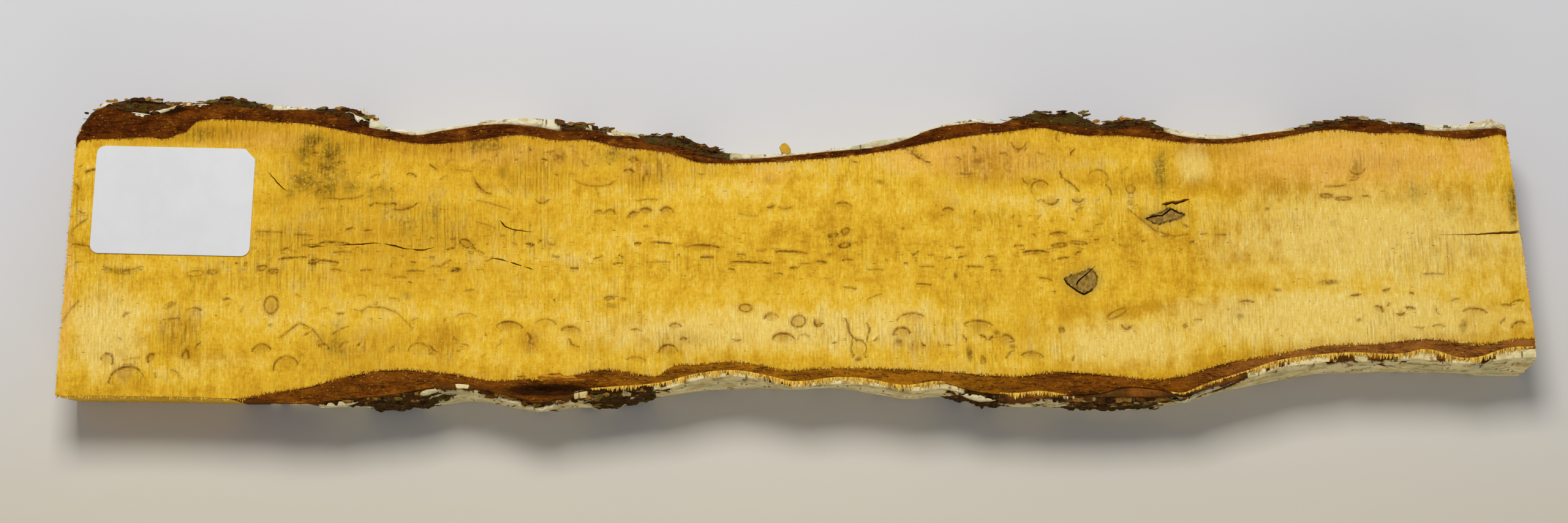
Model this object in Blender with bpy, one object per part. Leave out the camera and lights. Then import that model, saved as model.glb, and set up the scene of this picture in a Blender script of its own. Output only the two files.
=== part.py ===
"""A live-edge slab of figured birch with its bark on both long edges, and the blank tag stuck on it.

The slab lies on its back: X runs along the grain, Y across it and +Z up out of the figured face.
The origin is on the surface it rests on, under the middle of its box.
Run it with: blender --background --python part.py
"""

import math

import bmesh
import bpy
import numpy as np

MM = 0.001

# Driving dimensions of the board.
THICKNESS = 39.6 * MM
MIDDLE_BULGE = 1.6 * MM  # how far the bark swells between the two sawn faces
BULGE_FROM = -250 * MM  # left of here the lower edge is sawn straight through bare wood

# Where the two end cuts cross the lower and the upper edge.
LOWER_Y, UPPER_Y = -77 * MM, 60 * MM
LEFT_CUT = (-381.0 * MM, -377.3 * MM)
RIGHT_CUT = (381.0 * MM, 371.5 * MM)
RIGHT_CUT_AT_LOWER_Y = -56 * MM  # the right cut meets the lower bark higher up than the left one
END_SLANT = 1.5 * MM  # how much shorter the board is at its back, at each end

# Mesh density.
STATION_STEP = 6.5 * MM
END_STEPS = (1.5 * MM, 3.5 * MM)  # two closer stations beside each end cut
SIDE_LEVELS = 6  # rows of points up each bark edge
FACE_POINTS = 3  # points across each sawn face, between its two arrises

# Outer line of the bark, as (X, Y) in millimetres, on the figured face and on the back.
UPPER_EDGE_FACE = [
    (-382, 59), (-377, 64), (-371, 75), (-361, 79.5), (-349, 81.5), (-336, 80.2), (-324, 78.2),
    (-312, 79.3), (-304, 81.9), (-291, 81.2), (-280, 78.2), (-264, 75.6), (-256, 75.4), (-243, 76.8),
    (-231, 75), (-221, 68.6), (-209, 63.2), (-196, 63.4), (-180, 65.8), (-160, 68.2), (-142, 70),
    (-125, 68.6), (-112, 67.2), (-97, 63.9), (-83, 61.8), (-70, 62.5), (-58, 58.8), (-45, 54),
    (-34, 50.8), (-18, 50.3), (0, 51.3), (18, 53), (42, 57.8), (60, 61), (76, 66.4), (93, 68.4),
    (108, 67.7), (120, 73.2), (134, 74.2), (149, 73.6), (159, 67), (169, 70.4), (183, 70.2),
    (192, 65.6), (205, 62.3), (225, 60.9), (245, 63), (262, 65.2), (280, 69), (300, 71.4),
    (306, 68.8), (325, 67.9), (337, 64.6), (352, 67), (366, 68.5), (374, 64), (384, 60),
]
UPPER_EDGE_BACK = [
    (-382, 60), (-370, 72), (-345, 77), (-310, 78.5), (-275, 74), (-240, 71.5), (-205, 63.5),
    (-170, 65), (-130, 67.5), (-100, 64.5), (-60, 56), (-20, 51.5), (20, 52), (60, 58), (95, 66),
    (130, 69), (165, 66.5), (200, 62), (230, 60.5), (270, 65), (300, 68.5), (335, 65), (360, 66),
    (384, 62),
]
LOWER_EDGE_FACE = [
    (-384, -77.4), (-340, -77.8), (-300, -78.6), (-276, -80), (-262, -82), (-246, -81.8),
    (-228, -79.8), (-212, -79.2), (-200, -78.2), (-190, -75.2), (-175, -73.2), (-162, -75),
    (-148, -79), (-136, -82.2), (-124, -81), (-112, -78.6), (-98, -77.6), (-82, -75), (-66, -73),
    (-48, -68.6), (-32, -67.6), (-18, -69.4), (-5, -72.8), (12, -71.6), (26, -70.8), (42, -72.4),
    (58, -75), (72, -73.6), (82, -75), (96, -78.2), (112, -79.4), (122, -80.2), (138, -79.8),
    (158, -79.6), (174, -79.4), (190, -78.8), (202, -77.6), (214, -73.6), (230, -68.8), (244, -64.4),
    (262, -61), (280, -59.2), (300, -59.4), (320, -58.4), (345, -60.6), (362, -58.6), (376, -57),
    (386, -55),
]
LOWER_EDGE_BACK = [
    (-384, -73.6), (-320, -74.6), (-270, -75.6), (-235, -76.2), (-200, -77.8), (-170, -74),
    (-134, -79.2), (-115, -77), (-100, -78.2), (-80, -72.8), (-50, -68.6), (-20, -67), (16, -65.8),
    (40, -69.6), (58, -72.8), (76, -71.4), (96, -75.6), (130, -76.4), (176, -78), (200, -74.4),
    (220, -69.4), (248, -64), (272, -59.8), (300, -58.6), (345, -58.6), (368, -60.2), (386, -58),
]

# The tag: a card with one corner snipped off, stuck flat on the figured face.
TAG_SIZE = (83.0 * MM, 57.5 * MM)
TAG_CENTRE = (-325.2 * MM, 25.3 * MM)
TAG_TURN = math.radians(-1.3)
TAG_THICKNESS = 0.35 * MM
TAG_GAP = 0.3 * MM  # a thin film of glue, so that the card stays clear of the wood
TAG_CORNER_RADIUS = 4.5 * MM
TAG_SNIP = 5.5 * MM
CORNER_STEPS = 6


def material(name, colour, roughness):
    """A plain non-metallic Principled BSDF material."""
    made = bpy.data.materials.new(name)
    made.use_nodes = True
    shader = made.node_tree.nodes["Principled BSDF"]
    shader.inputs["Base Color"].default_value = (*colour, 1)
    shader.inputs["Roughness"].default_value = roughness
    shader.inputs["Metallic"].default_value = 0
    return made


def add_object(mesh_from, name, finish, collection):
    """Turns a bmesh into a named, linked object with one material."""
    mesh = bpy.data.meshes.new(name)
    mesh_from.to_mesh(mesh)
    mesh_from.free()
    mesh.materials.append(finish)
    made = bpy.data.objects.new(name, mesh)
    collection.objects.link(made)
    return made


def edge_line(points, x):
    """Y in metres of the smooth line through (X, Y) points in millimetres: cubic pieces whose slope
    at each point is that of the chord between its two neighbours."""
    px, py = np.array(points, float).T * MM
    slope = np.gradient(py, px)
    i = int(np.clip(np.searchsorted(px, x) - 1, 0, len(px) - 2))
    span = px[i + 1] - px[i]
    t = (x - px[i]) / span
    rise = (2 * t**3 - 3 * t**2 + 1) * py[i] + (3 * t**2 - 2 * t**3) * py[i + 1]
    lean = (t**3 - 2 * t**2 + t) * slope[i] + (t**3 - t**2) * slope[i + 1]
    return rise + lean * span


def side_y(face_line, back_line, outward, x, level):
    """Y of a long edge at station x and at level 0 (the back) to 1 (the figured face)."""
    straight = edge_line(back_line, x) * (1 - level) + edge_line(face_line, x) * level
    bare_wood = outward < 0 and x < BULGE_FROM
    bulge = 0 if bare_wood else MIDDLE_BULGE * math.sin(math.pi * level)
    return straight + outward * bulge


def end_cut(cut, low_y, y):
    """X of an end cut at height y across the board."""
    share = (y - low_y) / (UPPER_Y - low_y)
    return cut[0] + (cut[1] - cut[0]) * share


def section(x, cut=None):
    """One ring of points round the board: up the lower edge, across the figured face, down the
    upper edge and back across the underside. With cut, the ring leans in the plane of that end."""
    levels = np.linspace(0, 1, SIDE_LEVELS)
    lower = [(side_y(LOWER_EDGE_FACE, LOWER_EDGE_BACK, -1, x, v), v) for v in levels]
    upper = [(side_y(UPPER_EDGE_FACE, UPPER_EDGE_BACK, 1, x, v), v) for v in levels[::-1]]
    across = np.linspace(0, 1, FACE_POINTS + 2)[1:-1]
    face = [(lower[-1][0] + (upper[0][0] - lower[-1][0]) * s, 1) for s in across]
    back = [(upper[-1][0] + (lower[0][0] - upper[-1][0]) * s, 0) for s in across]
    ring = lower + face + upper + back
    if cut is None:
        return [(x, y, v * THICKNESS) for y, v in ring]
    inward = 1 if x < 0 else -1
    low_y = LOWER_Y if x < 0 else RIGHT_CUT_AT_LOWER_Y
    return [
        (end_cut(cut, low_y, y) + inward * END_SLANT * (1 - v), y, v * THICKNESS) for y, v in ring
    ]


def stations():
    """X of each section between the two end cuts, closer together beside them."""
    first = max(LEFT_CUT) + END_SLANT
    last = min(RIGHT_CUT) - END_SLANT
    steps = round((last - first - 2 * END_STEPS[1]) / STATION_STEP)
    middle = np.linspace(first + END_STEPS[1], last - END_STEPS[1], steps + 1)
    return [first + END_STEPS[0], *middle, last - END_STEPS[0]]


def make_slab(collection):
    """The sawn board with its bark: a loft through unlike sections, closed by its two flat ends."""
    rings = [section(LEFT_CUT[1], LEFT_CUT)]
    rings += [section(x) for x in stations()]
    rings.append(section(RIGHT_CUT[1], RIGHT_CUT))
    loft = bmesh.new()
    points = [[loft.verts.new(p) for p in ring] for ring in rings]
    around = len(points[0])
    for near, far in zip(points, points[1:]):
        for i in range(around):
            j = (i + 1) % around
            loft.faces.new((near[i], near[j], far[j], far[i]))
    loft.faces.new(points[0][::-1])
    loft.faces.new(points[-1])
    bmesh.ops.recalc_face_normals(loft, faces=loft.faces)
    wood = material("sawn_birch", (0.60, 0.38, 0.12), 0.62)
    return add_object(loft, "birch_slab", wood, collection)


def tag_outline():
    """The card's outline round its middle: three rounded corners and one snipped corner."""
    half_x, half_y = TAG_SIZE[0] / 2, TAG_SIZE[1] / 2
    outline = [(half_x, half_y - TAG_SNIP), (half_x - TAG_SNIP, half_y)]
    for right, up, start in ((-1, 1, 90), (-1, -1, 180), (1, -1, 270)):
        middle_x = right * (half_x - TAG_CORNER_RADIUS)
        middle_y = up * (half_y - TAG_CORNER_RADIUS)
        for step in range(CORNER_STEPS + 1):
            angle = math.radians(start + 90 * step / CORNER_STEPS)
            x = middle_x + TAG_CORNER_RADIUS * math.cos(angle)
            y = middle_y + TAG_CORNER_RADIUS * math.sin(angle)
            outline.append((x, y))
    return outline


def make_tag(collection):
    """The blank card: a filled flat outline, thickened, lying on the figured face."""
    outline = tag_outline()
    card = bpy.data.curves.new("blank_tag", "CURVE")
    card.dimensions = "2D"
    card.fill_mode = "BOTH"
    card.extrude = TAG_THICKNESS / 2
    line = card.splines.new("POLY")
    line.points.add(len(outline) - 1)
    for point, (x, y) in zip(line.points, outline):
        point.co = (x, y, 0, 1)
    line.use_cyclic_u = True
    card.materials.append(material("white_card", (0.80, 0.81, 0.84), 0.5))
    tag = bpy.data.objects.new("blank_tag", card)
    tag.location = (*TAG_CENTRE, THICKNESS + TAG_GAP + TAG_THICKNESS / 2)
    tag.rotation_euler.z = TAG_TURN
    collection.objects.link(tag)


def main():
    for old in list(bpy.data.objects):
        bpy.data.objects.remove(old)
    parts = bpy.data.collections.new("birch_slab_with_tag")
    bpy.context.scene.collection.children.link(parts)
    make_slab(parts)
    make_tag(parts)


main()
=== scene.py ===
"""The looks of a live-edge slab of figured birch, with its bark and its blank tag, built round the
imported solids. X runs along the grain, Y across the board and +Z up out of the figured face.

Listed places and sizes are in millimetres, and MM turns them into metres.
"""

import math

import bpy
import numpy as np
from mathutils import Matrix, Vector
from mathutils.bvhtree import BVHTree


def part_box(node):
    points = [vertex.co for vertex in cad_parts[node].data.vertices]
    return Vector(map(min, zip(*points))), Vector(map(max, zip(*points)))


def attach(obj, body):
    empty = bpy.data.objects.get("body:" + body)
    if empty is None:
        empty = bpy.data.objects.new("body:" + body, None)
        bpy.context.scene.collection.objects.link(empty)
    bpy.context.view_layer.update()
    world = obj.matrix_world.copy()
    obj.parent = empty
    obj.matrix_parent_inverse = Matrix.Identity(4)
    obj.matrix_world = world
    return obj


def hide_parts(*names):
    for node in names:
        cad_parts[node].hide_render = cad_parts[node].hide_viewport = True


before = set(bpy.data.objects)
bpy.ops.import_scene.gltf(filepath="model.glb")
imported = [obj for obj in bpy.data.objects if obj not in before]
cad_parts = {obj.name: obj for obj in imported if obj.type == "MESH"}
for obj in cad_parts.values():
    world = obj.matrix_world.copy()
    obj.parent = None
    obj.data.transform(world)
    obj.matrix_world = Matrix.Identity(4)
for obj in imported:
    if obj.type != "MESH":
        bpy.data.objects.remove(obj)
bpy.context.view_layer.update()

MM = 0.001
UPPER, LOWER = 1, -1

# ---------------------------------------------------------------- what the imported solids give
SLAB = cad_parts["birch_slab"]
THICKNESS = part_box("birch_slab")[1].z
EDGE_STEP = 1.5 * MM
EDGE_ENDS = (-375 * MM, 369 * MM)  # clear of both slanted end cuts
EDGE_LEVELS = 12
END_READ_AT = 65 * MM  # how far across the board the slant of its ends is read


def cut_plane(tree, direction):
    """(a, b, c) of a sawn end x = a + b y + c z, from three rays sent along the grain."""
    spots = np.array([(-40, 5), (40, 5), (0, 35)]) * MM
    hits = [
        tree.ray_cast(Vector((-direction, y, z)), Vector((direction, 0, 0)))[0].x for y, z in spots
    ]
    return np.linalg.solve(np.column_stack([np.ones(3), spots]), hits)


def edge_table(tree, side, stations):
    """Y of one long edge of the solid at each station (rows) and level (columns), from rays sent
    in towards the middle."""
    heights = np.linspace(0.003, 0.997, EDGE_LEVELS) * THICKNESS
    inwards = Vector((0, -side, 0))
    return np.array(
        [[tree.ray_cast(Vector((x, side, z)), inwards)[0].y for z in heights] for x in stations]
    )


solid = BVHTree.FromObject(SLAB, bpy.context.evaluated_depsgraph_get())
CUTS = (cut_plane(solid, 1), cut_plane(solid, -1))
STATIONS = np.arange(EDGE_ENDS[0], EDGE_ENDS[1], EDGE_STEP)
EDGES = {side: edge_table(solid, side, STATIONS) for side in (UPPER, LOWER)}


def along(share, y, z):
    """X of the point at that share of the way from the left sawn end to the right one."""
    left, right = (a + b * y + c * z for a, b, c in CUTS)
    return left + (right - left) * share


def edge(side, x, level):
    """Y of the solid's long edge at level 0 (back) to 1 (face): its table, read linearly between
    the four nearest entries and carried on straight past both ends."""
    table = EDGES[side]
    across = np.clip(level, 0, 1) * (EDGE_LEVELS - 1)
    place = (x - STATIONS[0]) / EDGE_STEP
    i = np.clip(np.floor(place).astype(int), 0, len(STATIONS) - 2)
    j = np.clip(np.floor(across).astype(int), 0, EDGE_LEVELS - 2)
    t, u = np.clip(place - i, -3, 4), across - j
    near = table[i, j] * (1 - u) + table[i, j + 1] * u
    far = table[i + 1, j] * (1 - u) + table[i + 1, j + 1] * u
    return near + (far - near) * t


# ---------------------------------------------------------------- shared arithmetic
LATTICE = np.random.default_rng(11).random((64, 64, 64)) * 2 - 1


def ease(t):
    """Smooth step: 0 below 0, 1 above 1, and 3 t^2 - 2 t^3 between."""
    t = np.clip(t, 0, 1)
    return t * t * (3 - 2 * t)


def noise(x, y, z, size, octaves=1):
    """Value noise from -1 to 1: random numbers on a lattice with that spacing, eased between the
    eight corners round each point, and halved in size and strength for each further octave."""
    total, weight = 0, 1
    for octave in range(octaves):
        at = [np.asarray(v, float) / size * 2**octave + 9.7 * (octave + 1) for v in (x, y, z)]
        at = np.broadcast_arrays(*at)
        cell = [np.floor(v).astype(int) for v in at]
        t = [ease(v - c) for v, c in zip(at, cell)]
        for corner in np.ndindex(2, 2, 2):
            index = tuple((c + k) % 64 for c, k in zip(cell, corner))
            share = np.prod([v if k else 1 - v for v, k in zip(t, corner)], axis=0)
            total = total + weight * share * LATTICE[index]
        weight *= 0.5
    return total


def smooth_line(points, x):
    """Y in metres of the smooth line through (X, Y) points in millimetres: cubic pieces whose
    slope at each point is the mean of the slopes on its two sides, the shorter side counting more."""
    px, py = np.array(points, float).T * MM
    slope = np.gradient(py, px)
    i = np.clip(np.searchsorted(px, x) - 1, 0, len(px) - 2)
    span = px[i + 1] - px[i]
    t = (x - px[i]) / span
    rise = (2 * t**3 - 3 * t**2 + 1) * py[i] + (3 * t**2 - 2 * t**3) * py[i + 1]
    lean = (t**3 - 2 * t**2 + t) * slope[i] + (t**3 - t**2) * slope[i + 1]
    return rise + lean * span


def bands(x, spans, soft=2.0):
    """1 inside any (from, to) span of X in millimetres and 0 outside, with edges eased over a
    distance of soft millimetres."""
    x = np.asarray(x) / MM
    inside = [np.minimum(ease((x - a) / soft + 0.5), ease((b - x) / soft + 0.5)) for a, b in spans]
    return np.max(inside, axis=0)


# ---------------------------------------------------------------- the lines that the saw bared
# Where the wood meets the inner bark on the figured face, as (X, Y).
UPPER_CAMBIUM = [
    (-384, 57.5), (-353, 59), (-338, 59.6), (-330, 58.8), (-324, 61.3), (-319.5, 62.8),
    (-315.5, 67.6), (-311, 68.9), (-300, 69.2), (-277, 68), (-257, 66.9), (-238, 63.3), (-222, 60),
    (-194, 56), (-164, 58.6), (-147, 60.8), (-125, 58), (-109, 58), (-93, 54), (-77, 52.7),
    (-65, 50.4), (-53, 46.4), (-39, 45.4), (-26, 45.7), (3, 47.4), (41, 51.4), (60, 54.7), (81, 59),
    (112, 62.9), (128, 64.6), (144, 61.3), (173, 60.3), (205, 56.6), (224, 56.3), (243, 58),
    (285, 63.6), (301, 61.9), (320, 61.9), (342, 59.3), (352, 58.8), (371, 61.6), (384, 61),
]
LOWER_CAMBIUM = [
    (-384, -84), (-290, -80.5), (-283, -78.8), (-268, -75.9), (-252, -73.3), (-234, -68.2),
    (-215, -64.7), (-200, -64.3), (-174, -67), (-158, -69.8), (-142, -69.2), (-120, -68.5),
    (-105, -64.7), (-93, -64.4), (-82, -66.4), (-70.5, -66.8), (-66.5, -63.7), (-51, -61.5),
    (-32, -60.2), (-20, -61.6), (-5, -64.7), (9, -63.8), (53, -63.8), (72, -65), (94, -66.6),
    (113, -67.6), (130, -65.5), (150, -66), (165, -67.6), (185, -69.2), (198, -67.3), (210, -63.8),
    (220, -60.9), (245, -56.7), (271, -51.9), (296, -50.9), (331, -48.4), (345, -50.5),
    (356, -50.6), (372, -47.7), (384, -46.9),
]
# Where the inner bark meets the outer bark.
UPPER_RIND = [
    (-384, 60), (-377, 61), (-371, 70), (-365, 75.5), (-352, 73.2), (-338, 71.6), (-322, 76.2),
    (-303, 76.9), (-274, 74.2), (-257, 74.2), (-238, 69.6), (-225, 64.9), (-212, 62.6),
    (-199, 60.6), (-186, 62.9), (-155, 66.6), (-135, 64.9), (-122, 62.6), (-110, 63.6), (-97, 60.3),
    (-85, 59.6), (-77, 55.7), (-61, 54), (-49, 48.7), (-39, 47.4), (-26, 47.7), (16, 51.7),
    (44, 54.7), (57, 58.3), (70, 63.6), (86, 66.6), (128, 67.6), (147, 64.9), (163, 63.6),
    (182, 65.6), (198, 60.6), (224, 58.6), (243, 61.3), (282, 65.6), (298, 67.9), (317, 65.3),
    (330, 63.3), (365, 64.3), (384, 65),
]
LOWER_RIND = [
    (-384, -88), (-288, -82.5), (-274, -81), (-252, -81), (-230, -78.8), (-205, -76), (-189, -73),
    (-174, -70.8), (-161, -73), (-145, -77.5), (-133, -80.6), (-126, -79.4), (-112, -75),
    (-95, -73.3), (-70, -71), (-51, -66.3), (-32, -64.7), (-16, -67.3), (-4, -70.2), (21, -68.3),
    (31, -68.5), (56, -72.4), (75, -70.5), (87, -74), (113, -76.5), (125, -75.5), (138, -77.2),
    (157, -75.6), (166, -73), (185, -74), (197, -76.5), (210, -71.7), (232, -64.7), (245, -60.2),
    (264, -57), (283, -55.4), (315, -55.3), (321, -53.8), (346, -58.3), (352, -57.4), (365, -53.2),
    (384, -52),
]
LINES = {
    (UPPER, "cambium"): UPPER_CAMBIUM,
    (LOWER, "cambium"): LOWER_CAMBIUM,
    (UPPER, "rind"): UPPER_RIND,
    (LOWER, "rind"): LOWER_RIND,
}
LEAST_RIND = 0.7 * MM  # the outer bark is nowhere thinner than this
BARE_UNTIL = -287  # left of here the lower edge is sawn through bare wood
BACK_EVENING = 24 * MM  # the bark's depth is evened out over this length on the back


def bark_depths(side, line):
    """Depth of a bark line inside the solid's edge at each station, on the face and on the back,
    where it is the face's running mean."""
    face = side * (edge(side, STATIONS, 1.0) - smooth_line(LINES[side, line], STATIONS))
    face = np.maximum(face, LEAST_RIND if line == "rind" else 0)
    if side == LOWER:
        face = face * ease((STATIONS / MM - BARE_UNTIL) / 6)
    reach = int(2.5 * BACK_EVENING / EDGE_STEP)
    bell = np.exp(-((np.arange(-reach, reach + 1) * EDGE_STEP / BACK_EVENING) ** 2))
    padded = np.pad(face, reach, mode="edge")
    back = np.convolve(padded, bell / bell.sum(), mode="valid")
    if side == LOWER:
        back = back * ease((STATIONS / MM - BARE_UNTIL) / 20)
    return face, back


DEPTHS = {key: bark_depths(*key) for key in LINES}


def bark_line(side, line, x, level):
    """Y of a bark line at level 0 (back) to 1 (face)."""
    face, back = DEPTHS[side, line]
    blend = np.clip(level, 0, 1) ** 2
    depth = np.interp(x, STATIONS, face) * blend + np.interp(x, STATIONS, back) * (1 - blend)
    return edge(side, x, level) - side * depth


# ---------------------------------------------------------------- meshes from arrays
def make_object(name, points, faces, sharp):
    """A linked mesh object, smooth but for edges sharper than that many degrees. Its faces are
    turned over if the volume they enclose comes out negative."""
    mesh = bpy.data.meshes.new(name)
    mesh.from_pydata(points, [], faces)
    mesh.calc_loop_triangles()
    index = np.empty(len(mesh.loop_triangles) * 3, np.int32)
    mesh.loop_triangles.foreach_get("vertices", index)
    if np.linalg.det(np.asarray(points)[index.reshape(-1, 3)]).sum() < 0:
        mesh.flip_normals()
    mesh.shade_smooth()
    mesh.set_sharp_from_angle(angle=math.radians(sharp))
    made = bpy.data.objects.new(name, mesh)
    bpy.context.scene.collection.objects.link(made)
    return made


def quads_between(near, far):
    """Quads that join closed rings of corners to the next rings, in arrays of the same shape."""
    sides = [near, np.roll(near, -1, -1), np.roll(far, -1, -1), far]
    return np.stack(sides, -1).reshape(-1, 4)


def tube_faces(corner):
    """Faces of a tube through rings of corners, with a face over each end."""
    quads = quads_between(corner[:-1], corner[1:])
    return quads.tolist() + [corner[0].tolist()[::-1], corner[-1].tolist()]


def cap_rings(ring, shares):
    """Copies of a closed ring drawn in towards its middle by each share, to close an end."""
    middle = ring.mean(axis=0)
    return np.array([middle + (ring - middle) * s for s in shares])


CAP_SHARES = (0.985, 0.9, 0.75, 0.55, 0.35, 0.15)
END_REACH = 5 * MM  # how far in from a sawn end its roughness fades
SHARP = 35  # degrees past which an edge is shaded sharp


def loft(name, rings, ragged=0.0, sharp=SHARP, shares=CAP_SHARES):
    """A closed body through rings of shape (stations, points round, 3). Each end is closed by rings
    drawn in towards its middle, roughened by noise of that amplitude along X."""
    whole = rings
    if shares:
        first, last = cap_rings(rings[0], shares), cap_rings(rings[-1], shares)
        whole = np.concatenate([first[::-1], rings, last])
    if ragged:
        x, y, z = np.moveaxis(whole, -1, 0)
        reach = np.minimum(np.abs(x - rings[0, :, 0].mean()), np.abs(x - rings[-1, :, 0].mean()))
        near_end = np.exp(-reach / END_REACH)
        whole[..., 0] += near_end * ragged * noise(x * 0 + 3, y, z, 7 * MM, 3)
    corner = np.arange(whole.shape[0] * whole.shape[1]).reshape(whole.shape[:2])
    return make_object(name, whole.reshape(-1, 3), tube_faces(corner), sharp)


def read_points(mesh):
    """The mesh's vertices as an array of shape (count, 3)."""
    flat = np.empty(len(mesh.vertices) * 3, np.float32)
    mesh.vertices.foreach_get("co", flat)
    return flat.reshape(-1, 3).astype(float)


def store(mesh, name, values):
    """Keeps one number, or one vector, per vertex as an attribute that a material reads."""
    values = np.asarray(values, np.float32)
    kind, key = ("FLOAT", "value") if values.ndim == 1 else ("FLOAT_VECTOR", "vector")
    mesh.attributes.new(name, kind, "POINT").data.foreach_set(key, values.ravel())


# ---------------------------------------------------------------- the wood
WOOD_STATIONS = 640
WOOD_FACE_POINTS = 112
WOOD_BACK_POINTS = 13
WOOD_SIDE_POINTS = 7
HAIR = 1e-6  # metres within which a point counts as lying on a sawn face


def wood_rings():
    """Sections of the wood between its two cambium lines: across the figured face, down the upper
    side, back across the underside and up the lower side, each a straight share between corners."""
    s = np.linspace(0, 1, WOOD_STATIONS)[:, None]
    levels = np.linspace(0, 1, WOOD_SIDE_POINTS)[None, :]

    def side_points(side, level):
        """Points on one cut side, a little ragged along the cambium line."""
        z = level * THICKNESS
        x = along(s, side * END_READ_AT, z)
        ragged = noise(x, side * 7 + 0 * z, z * 0.3, 2.2 * MM, 2) * 0.22 * MM
        y = bark_line(side, "cambium", x, level) + side * ragged
        return np.stack([along(s, y, z), y, z + 0 * y], -1)

    upper, lower = side_points(UPPER, levels[:, ::-1]), side_points(LOWER, levels)
    t = np.linspace(0, 1, WOOD_FACE_POINTS)[None, 1:-1, None]
    face = lower[:, -1:] * (1 - t) + upper[:, :1] * t
    t = np.linspace(0, 1, WOOD_BACK_POINTS)[None, 1:-1, None]
    back = upper[:, -1:] * (1 - t) + lower[:, :1] * t
    return np.concatenate([face, upper, back, lower], axis=1)


def wood_relief(points):
    """Height of the sawn faces over flat: long shallow waves across the grain that the saw left."""
    x, y, z = points.T
    wave = noise(x, y * 0.04, 0 * z, 5 * MM, 2) * 0.05 * MM
    return wave * np.where(z > THICKNESS / 2, 1, -1)


def make_wood():
    """The sawn wood, without its bark."""
    wood = loft("sawn_wood", wood_rings(), ragged=0.5 * MM)
    mesh = wood.data
    points = read_points(mesh)
    flat = (points[:, 2] > THICKNESS - HAIR) | (points[:, 2] < HAIR)
    points[flat, 2] += wood_relief(points[flat])
    points[:, 2] = np.maximum(points[:, 2], 0)
    mesh.vertices.foreach_set("co", points.astype(np.float32).ravel())
    mesh.update()
    return wood


# Drying cracks: depth, then (X, Y, half width) along each, in millimetres.
CRACKS = [
    (12, [(333, 7.2, 0.05), (343, 7.3, 0.2), (350, 7.3, 0.32), (356, 7.7, 0.45),
     (365, 8.3, 0.65), (372, 8.6, 0.8), (379, 8.9, 0.85), (386, 9, 0.85)]),
    (4, [(-243, 1.2, 0.04), (-234, 2, 0.32), (-226, 2.1, 0.45), (-220, 2.9, 0.32),
     (-216, 2.6, 0.08)]),
    (4, [(-215, 2.3, 0.08), (-210.4, 1.8, 0.5), (-204, 0, 0.4), (-201, -0.3, 0.08)]),
    (4, [(-200.4, -0.4, 0.08), (-197.6, -0.9, 0.5), (-193.6, -0.8, 0.42), (-188, 0.5, 0.05)]),
    (3, [(-159, -5, 0.05), (-156.6, -5.3, 0.4), (-153, -6, 0.5), (-150, -6.9, 0.12)]),
    (3, [(-149, -7.2, 0.12), (-146.6, -8, 0.5), (-143, -9.2, 0.3)]),
    (3, [(-142, -9.7, 0.1), (-138.6, -10.6, 0.4), (-136.6, -11, 0.06)]),
    (3, [(-154.6, 15.2, 0.06), (-153.4, 13.2, 0.5), (-151.8, 11.6, 0.42), (-149.4, 10.5, 0.36),
     (-147, 9.9, 0.4), (-142.2, 9.1, 0.34), (-137, 8.6, 0.08)]),
    (2.5, [(-277, 41.5, 0.06), (-273.7, 38.2, 0.34), (-271.2, 34.9, 0.4), (-268.4, 32.4, 0.34),
     (-265.5, 30.4, 0.08)]),
    (5, [(144.2, -19.6, 0.3), (145.3, -17.7, 0.45), (147.7, -15.3, 0.4), (150.9, -12.5, 0.34),
     (154.8, -8.8, 0.06)]),
    (4, [(138.2, -15.4, 0.12), (138.7, -17, 0.45), (141.1, -19.9, 0.45), (145, -22.8, 0.5),
     (148.2, -24.6, 0.55), (151.5, -22.8, 0.4), (154, -20.8, 0.1)]),
    (5, [(181.2, 15.8, 0.25), (184.3, 16.8, 0.55), (189.9, 17.6, 0.45), (192.6, 19.6, 0.5),
     (194.6, 21.2, 0.5), (197.1, 19.5, 0.45), (201.5, 17.9, 0.12)]),
    (5, [(189.9, 23.6, 0.3), (192.4, 23.8, 1.1), (194.6, 24.6, 0.7), (197.2, 24.4, 1.2),
     (199.6, 25.0, 0.8), (201.6, 25.6, 1.0), (204.4, 26.2, 0.2)]),
    (3, [(-255, 0.8, 0.05), (-252, 0.9, 0.4), (-248, 1.2, 0.3), (-245, 1.0, 0.06)]),
    (3, [(191.8, 22.9, 0.25), (192.2, 21.9, 0.25), (192.5, 20.9, 0.1)]),
]
CRACK_STEP = 1.1  # millimetres between a crack's sections


def crack_cutter(depth, line):
    """A wedge to cut one crack with: triangles across a jagged path, wide above the face and
    narrowed to an edge at the crack's depth. Returns its points and faces."""
    x, y, half = np.array(line, float).T
    run = np.concatenate([[0], np.cumsum(np.hypot(np.diff(x), np.diff(y)))])
    at = np.linspace(0, run[-1], max(4, round(run[-1] / CRACK_STEP)) + 1)
    x, y, half = (np.interp(at, run, v) for v in (x, y, half))
    y = y + noise(x * MM, y * MM, 0 * x, 2.1 * MM, 2) * 0.3
    path = np.column_stack([x, y])
    ahead = np.gradient(path, axis=0)
    aside = np.column_stack([-ahead[:, 1], ahead[:, 0]]) / np.hypot(*ahead.T)[:, None]
    deep = depth * np.clip(half / half.max(), 0.15, 1)
    top = np.full(len(x), THICKNESS / MM + 0.4)
    left = np.column_stack([path + aside * half[:, None], top])
    right = np.column_stack([path - aside * half[:, None], top])
    foot = np.column_stack([path, THICKNESS / MM - deep])
    points = np.stack([left, foot, right], axis=1).reshape(-1, 3) * MM
    corner = np.arange(len(points)).reshape(-1, 3)
    return points, tube_faces(corner)


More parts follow.
